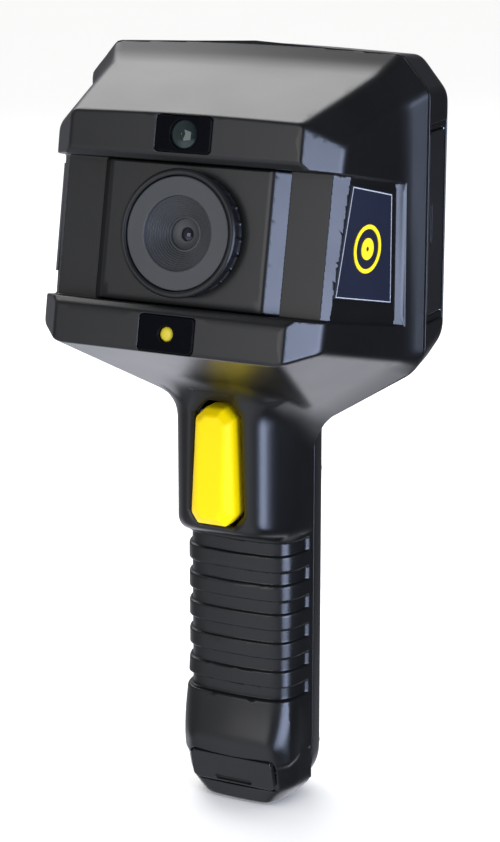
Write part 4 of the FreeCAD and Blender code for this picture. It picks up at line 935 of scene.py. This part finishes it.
class MakeLens(bpy.types.Operator):
    """Make the plate round the lens, the focus ring, the baffle and the germanium lens"""
    bl_idname = "thermal.make_lens"
    bl_label = "Lens"

    def execute(self, context):
        piece = moulded("lens_surround", lens_plate, (-36, -50, 190), (36, -35, 245), 0.35, 0.01)
        set_up(piece, "housing", "shell", "lens_panel")
        ring = [(19.0, 7.2), (19.0, 1.9), (19.15, 1.45)]
        ring += bow((19.15, 1.45), (20.9, 1.5), 0.45, 8)
        ring += [(RING_OUTER, depth) for depth in (1.9, 2.3, 2.6, 6.8)] + [(20.8, 7.2), (19.0, 7.2)]
        piece = turned("scalloped_focus_ring", ring, 24 * 16, shape=notched)
        set_up(piece, "focus_ring", "black_anodised", "focus_ring")
        # from the back round the outside to the flat face, down the ribbed funnel and round the small mouth
        nose = [(6.2, 18.5), (16.35, 18.5), (16.35, 3.6), (18.7, 3.6)]
        nose += [(18.7, 1.95), (18.55, 1.7), (18.3, 1.6), (18.2, 1.6)]
        nose += [(12.85, 1.6), (12.75, 1.6), (12.45, 1.7), (12.3, 1.95), (12.15, 3.0)]
        (radius_out, depth_out), (radius_in, depth_in) = FUNNEL
        for i in range(FUNNEL_RIBS):
            radius = radius_out + (radius_in - radius_out) * i / FUNNEL_RIBS
            depth = depth_out + (depth_in - depth_out) * i / FUNNEL_RIBS
            nose += [(radius - inwards, depth + back) for inwards, back in FUNNEL_RIB]
        nose += [(5.6, 7.2), (5.35, 7.15), (5.15, 7.3), (5.05, 8.2)]
        nose += [(3.4, 9.0), (2.4, 9.0), (2.2, 9.2), (2.2, 9.5), (6.2, 9.5), (6.2, 18.5)]
        piece = turned("ribbed_baffle", nose, 128)
        set_up(piece, "lens_cell", "black_anodised", "lens_nose", material="blasted_nose")
        glass = bow((0, 8.55), (2.1, 9.15), 0.12, 8) + [(2.15, 9.6), (6.1, 9.8), (6.15, 12.5), (0, 12.5)]
        piece = turned("germanium_lens", glass, 64)
        set_up(piece, "lens_cell", "infrared_glass", "front_lens")
        return {"FINISHED"}


class MakeWindows(bpy.types.Operator):
    """Make the windows, the camera's dome and the lamp in the bars"""
    bl_idname = "thermal.make_windows"
    bl_label = "Windows"

    def execute(self, context):
        for name, node, window, hole, low, high in (
            ("camera_pane", "camera_window", CAMERA_WINDOW, CAMERA_HOLE, (-10.3, -50, 242), (10.3, -45, 256)),
            ("lamp_pane", "lamp_window", LAMP_WINDOW, LAMP_HOLE, (-10.3, -63, 178), (10.3, -58, 192)),
        ):
            piece = moulded(name, pane(window, hole), low, high, 0.25)
            set_up(piece, "housing", "window_black", node)
        dome = bow((0, -0.55), (4.3, 0.35), 0.35, 12) + [(4.75, 0.6), (4.75, 1.5), (0, 1.5)]
        piece = turned("camera_dome", dome, 64, middle=sum(CAMERA_WINDOW) / 2)
        set_up(piece, "housing", "clear_glass", "camera_lens")
        led = bow((0, 0.2), (2.2, 0.7), 0.2, 8) + [(2.4, 0.9), (2.4, 3.0), (0, 3.0)]
        piece = turned("lamp_dome", led, 48, middle=sum(LAMP_WINDOW) / 2)
        set_up(piece, "housing", "lamp_yellow", "lamp_led")
        return {"FINISHED"}


# A label's corners: along the recess from its front end, and height
LABEL_CORNERS = [(12.8, 234), (36.4, 228.3), (36.4, 191.3), (2.9, 198.6)]
LABEL_BANDS = [(0.45, 0), (0.5, 1)]


class MakeLabels(bpy.types.Operator):
    """Make the printed labels in the side recesses, with a silver border"""
    bl_idname = "thermal.make_labels"
    bl_label = "Labels"

    def execute(self, context):
        start = np.array((51.2, -46.0, 0.0))
        run = np.array((6.0, 37.0, 0.0))
        run /= np.linalg.norm(run)
        outward = np.array((run[1], -run[0], 0.0))
        for tag, side in (("right", 1), ("left", -1)):
            mirror = np.array((side, 1, 1))
            corners = [(start + run * along + (0, 0, up)) * mirror for along, up in LABEL_CORNERS]
            piece = plate(f"printed_label_{tag}", corners, outward * mirror * 0.8, 0.15, LABEL_BANDS)
            piece.data.materials.append(MATERIALS["label_print"])
            piece.data.materials.append(MATERIALS["label_silver"])
            set_up(piece, "housing", "label_print", f"label_{tag}")
        return {"FINISHED"}


class MakeTrigger(bpy.types.Operator):
    """Make the bevelled trigger"""
    bl_idname = "thermal.make_trigger"
    bl_label = "Trigger"

    def execute(self, context):
        piece = moulded("yellow_trigger", trigger_body, (-10, -33, 110), (10, -16, 154), 0.35)
        set_up(piece, "trigger", "trigger_yellow", "trigger")
        return {"FINISHED"}


class MakeFlaps(bpy.types.Operator):
    """Make the covers of the sockets in the foot and in the side"""
    bl_idname = "thermal.make_flaps"
    bl_label = "Flaps"

    def execute(self, context):
        piece = moulded("foot_flap", base_flap, (-17, -17, 6), (17, -9, 21), 0.25)
        set_up(piece, "base_flap", "flap_plastic", "base_flap")
        piece = moulded("foot_flap_pin", flap_pin, (-16, -17, 16), (16, -13, 21), 0.25, 0.01)
        pin_body = frame["nodes"]["base_flap_pin"]["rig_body"]
        set_up(piece, pin_body, "steel", "base_flap_pin")
        piece = moulded("socket_cover", side_flap, (62, 6, 184), (64.4, 20.2, 247), 0.3)
        set_up(piece, "side_flap", "flap_plastic", "side_flap")
        return {"FINISHED"}


class MakeKeys(bpy.types.Operator):
    """Make the keys below the display"""
    bl_idname = "thermal.make_keys"
    bl_label = "Keys"

    def execute(self, context):
        for name, (across, up, half_x, half_z, is_round) in KEYS.items():
            middle = KEY_ROW + up
            low = (across - half_x, BACK_Y - 3, middle - half_z)
            high = (across + half_x, BACK_Y + KEY_RISE, middle + half_z)
            piece = moulded(name + "_cap", key_cap(name), low, high, 0.25)
            set_up(piece, name, "key_rubber", name)
        return {"FINISHED"}


class MakeDisplay(bpy.types.Operator):
    """Make the display's glass, with round corners"""
    bl_idname = "thermal.make_display"
    bl_label = "Display"

    def execute(self, context):
        corners = [(x, 25.0, z) for x, z in round_corners(45.0, 193.0, 261.0, 2.3)]
        piece = plate("display_pane", corners, (0, 1.8, 0), 0.25)
        set_up(piece, "housing", "display_glass", "display_glass")
        return {"FINISHED"}


class MakeFinishes(bpy.types.Operator):
    """Make the materials and dress the frame's own pieces"""
    bl_idname = "thermal.make_finishes"
    bl_label = "Finishes"

    def execute(self, context):
        make_materials(context.scene.thermal_shells, context.scene.thermal_accents)
        dress_frame()
        return {"FINISHED"}


def aim(thing, spot, target):
    """Put a light or camera at a spot, looking at a target."""
    thing.location = spot
    thing.rotation_euler = (Vector(target) - Vector(spot)).to_track_quat("-Z", "Y").to_euler()


def around(azimuth, elevation, distance, middle):
    """A spot seen from the middle at an azimuth from -Y towards +X and at an elevation."""
    turn, rise = math.radians(azimuth), math.radians(elevation)
    flat = distance * math.cos(rise)
    return Vector(middle) + Vector((flat * math.sin(turn), -flat * math.cos(turn), distance * math.sin(rise)))


# What reflections see besides the lights. Each glow is the product of its ramps, and a ramp runs over one
# part of the direction: axis, start, end, and the strength at each.
GLOWS = {
    "room, bright at the left": [("X", -0.6, 0.45, 0.27, 0.02)],
    "floor in front": [
        ("Z", -0.28, -0.02, 1.0, 0.0), ("Y", -0.6, -0.2, 0.75, 0.0), ("X", 0.35, 0.75, 1.0, 0.0),
        ("X", -0.8, -0.4, 0.1, 1.0),
    ],
    "floor behind, at the left": [
        ("Z", -0.28, -0.02, 1.0, 0.0), ("Y", -0.2, 0.4, 0.0, 0.3), ("X", -0.4, 0.0, 1.0, 0.0),
    ],
    "floor right behind": [
        ("Z", -0.7, -0.35, 1.6, 0.0), ("Y", -0.1, 0.3, 0.0, 1.0), ("X", 0.2, 0.5, 1.0, 0.0),
    ],
}
WORLD_STRENGTH = 1.04
FLOOR_GAP = 0.0002
# The camera: azimuth and elevation in degrees, height of its target in metres, lens and sensor in millimetres
CAMERA_ANGLE = (26.81, 14.98)
CAMERA_TARGET_Z = 0.1413
FOCAL_LENGTH = 97.8
SENSOR_WIDTH = 36.0


def make_world():
    """Even white light from everywhere, and a dimmer room for reflections."""
    world = bpy.data.worlds.new("studio")
    world.use_nodes = True
    tree = world.node_tree
    tree.nodes.clear()
    place = add(tree, "ShaderNodeTexCoord").outputs["Generated"]
    parts = add(tree, "ShaderNodeSeparateXYZ", {"Vector": place}).outputs
    seen = 0.0
    for ramps in GLOWS.values():
        glow = 1.0
        for axis, start, end, first, last in ramps:
            ramp = add(tree, "ShaderNodeMapRange", {
                "Value": parts[axis], "From Min": start, "From Max": end, "To Min": first, "To Max": last,
            })
            glow = add(tree, "ShaderNodeMath", {0: glow, 1: ramp.outputs[0]}, operation="MULTIPLY").outputs[0]
        seen = add(tree, "ShaderNodeMath", {0: seen, 1: glow}, operation="ADD").outputs[0]
    dim = add(tree, "ShaderNodeBackground", {"Color": colour("#F2F4FF"), "Strength": seen})
    bright = add(tree, "ShaderNodeBackground", {"Color": colour("#FFFFFF"), "Strength": WORLD_STRENGTH})
    path = add(tree, "ShaderNodeLightPath")
    mix = add(tree, "ShaderNodeMixShader", {
        0: path.outputs["Is Glossy Ray"], 1: bright.outputs[0], 2: dim.outputs[0],
    })
    add(tree, "ShaderNodeOutputWorld", {"Surface": mix.outputs[0]})
    return world


class MakeStage(bpy.types.Operator):
    """Make the floor, the lights and the camera"""
    bl_idname = "thermal.make_stage"
    bl_label = "Stage"

    def execute(self, context):
        stage = context.scene.thermal_stage
        paper = finish("pale_backdrop_paper", stage.floor, stage.floor, (0.85, 0.95), 2.0, 0.01, patch=300)
        build = bmesh.new()
        bmesh.ops.create_grid(build, x_segments=8, y_segments=8, size=9.0)
        mesh = bpy.data.meshes.new("floor")
        build.to_mesh(mesh)
        build.free()
        floor = add_object("floor", mesh)
        floor.location.z = -FLOOR_GAP
        floor.data.materials.append(paper)
        floor.visible_glossy = False
        context.scene.world = make_world()
        middle = (0, 0, 0.15)
        lights = [
            ("light_top", stage.top_power, "#FFFFFF", (1.2, 0.9), around(-134, 47, 1.3, middle)),
            ("light_right", stage.side_power, "#CBDAFF", (0.8, 1.0), around(70, -5, 1.4, middle)),
            ("light_front", stage.side_power * 0.18, "#FFFFFF", (0.9, 0.9), around(-8, 11, 1.6, middle)),
        ]
        for name, power, tint, size, spot in lights:
            data = bpy.data.lights.new(name, "AREA")
            data.shape = "RECTANGLE"
            data.size, data.size_y = size
            data.energy = power
            data.color = colour(tint)[:3]
            lamp = bpy.data.objects.new(name, data)
            context.scene.collection.objects.link(lamp)
            aim(lamp, spot, middle)
        context.scene.view_settings.view_transform = "Standard"
        target = (0, 0, CAMERA_TARGET_Z)
        camera = bpy.data.objects.new("camera", bpy.data.cameras.new("camera"))
        context.scene.collection.objects.link(camera)
        camera.data.sensor_width = SENSOR_WIDTH
        camera.data.lens = FOCAL_LENGTH
        aim(camera, around(*CAMERA_ANGLE, stage.distance, target), target)
        context.scene.camera = camera
        return {"FINISHED"}


class ThermalPanel(bpy.types.Panel):
    """The pieces, in the 3D view's sidebar"""
    bl_idname = "VIEW3D_PT_thermal"
    bl_label = "Thermal camera"
    bl_space_type = "VIEW_3D"
    bl_region_type = "UI"
    bl_category = "Thermal camera"

    def draw(self, context):
        for group_name in SETTINGS:
            group = getattr(context.scene, group_name)
            for name in group.__annotations__:
                self.layout.prop(group, name)
        for operator in OPERATORS:
            self.layout.operator(operator.bl_idname)


SETTINGS = {
    "thermal_shells": ShellSettings,
    "thermal_accents": AccentSettings,
    "thermal_stage": StageSettings,
}
OPERATORS = [
    MakeFinishes, MakeShells, MakeLens, MakeWindows, MakeLabels,
    MakeTrigger, MakeFlaps, MakeKeys, MakeDisplay, MakeStage,
]


def register():
    for cls in [*SETTINGS.values(), *OPERATORS, ThermalPanel]:
        bpy.utils.register_class(cls)
    for name, cls in SETTINGS.items():
        setattr(bpy.types.Scene, name, bpy.props.PointerProperty(type=cls))


def unregister():
    for name in SETTINGS:
        delattr(bpy.types.Scene, name)
    for cls in reversed([*SETTINGS.values(), *OPERATORS, ThermalPanel]):
        bpy.utils.unregister_class(cls)


def main():
    register()
    for operator in OPERATORS:
        group, call = operator.bl_idname.split(".")
        getattr(getattr(bpy.ops, group), call)()


if __name__ == "__main__":
    main()
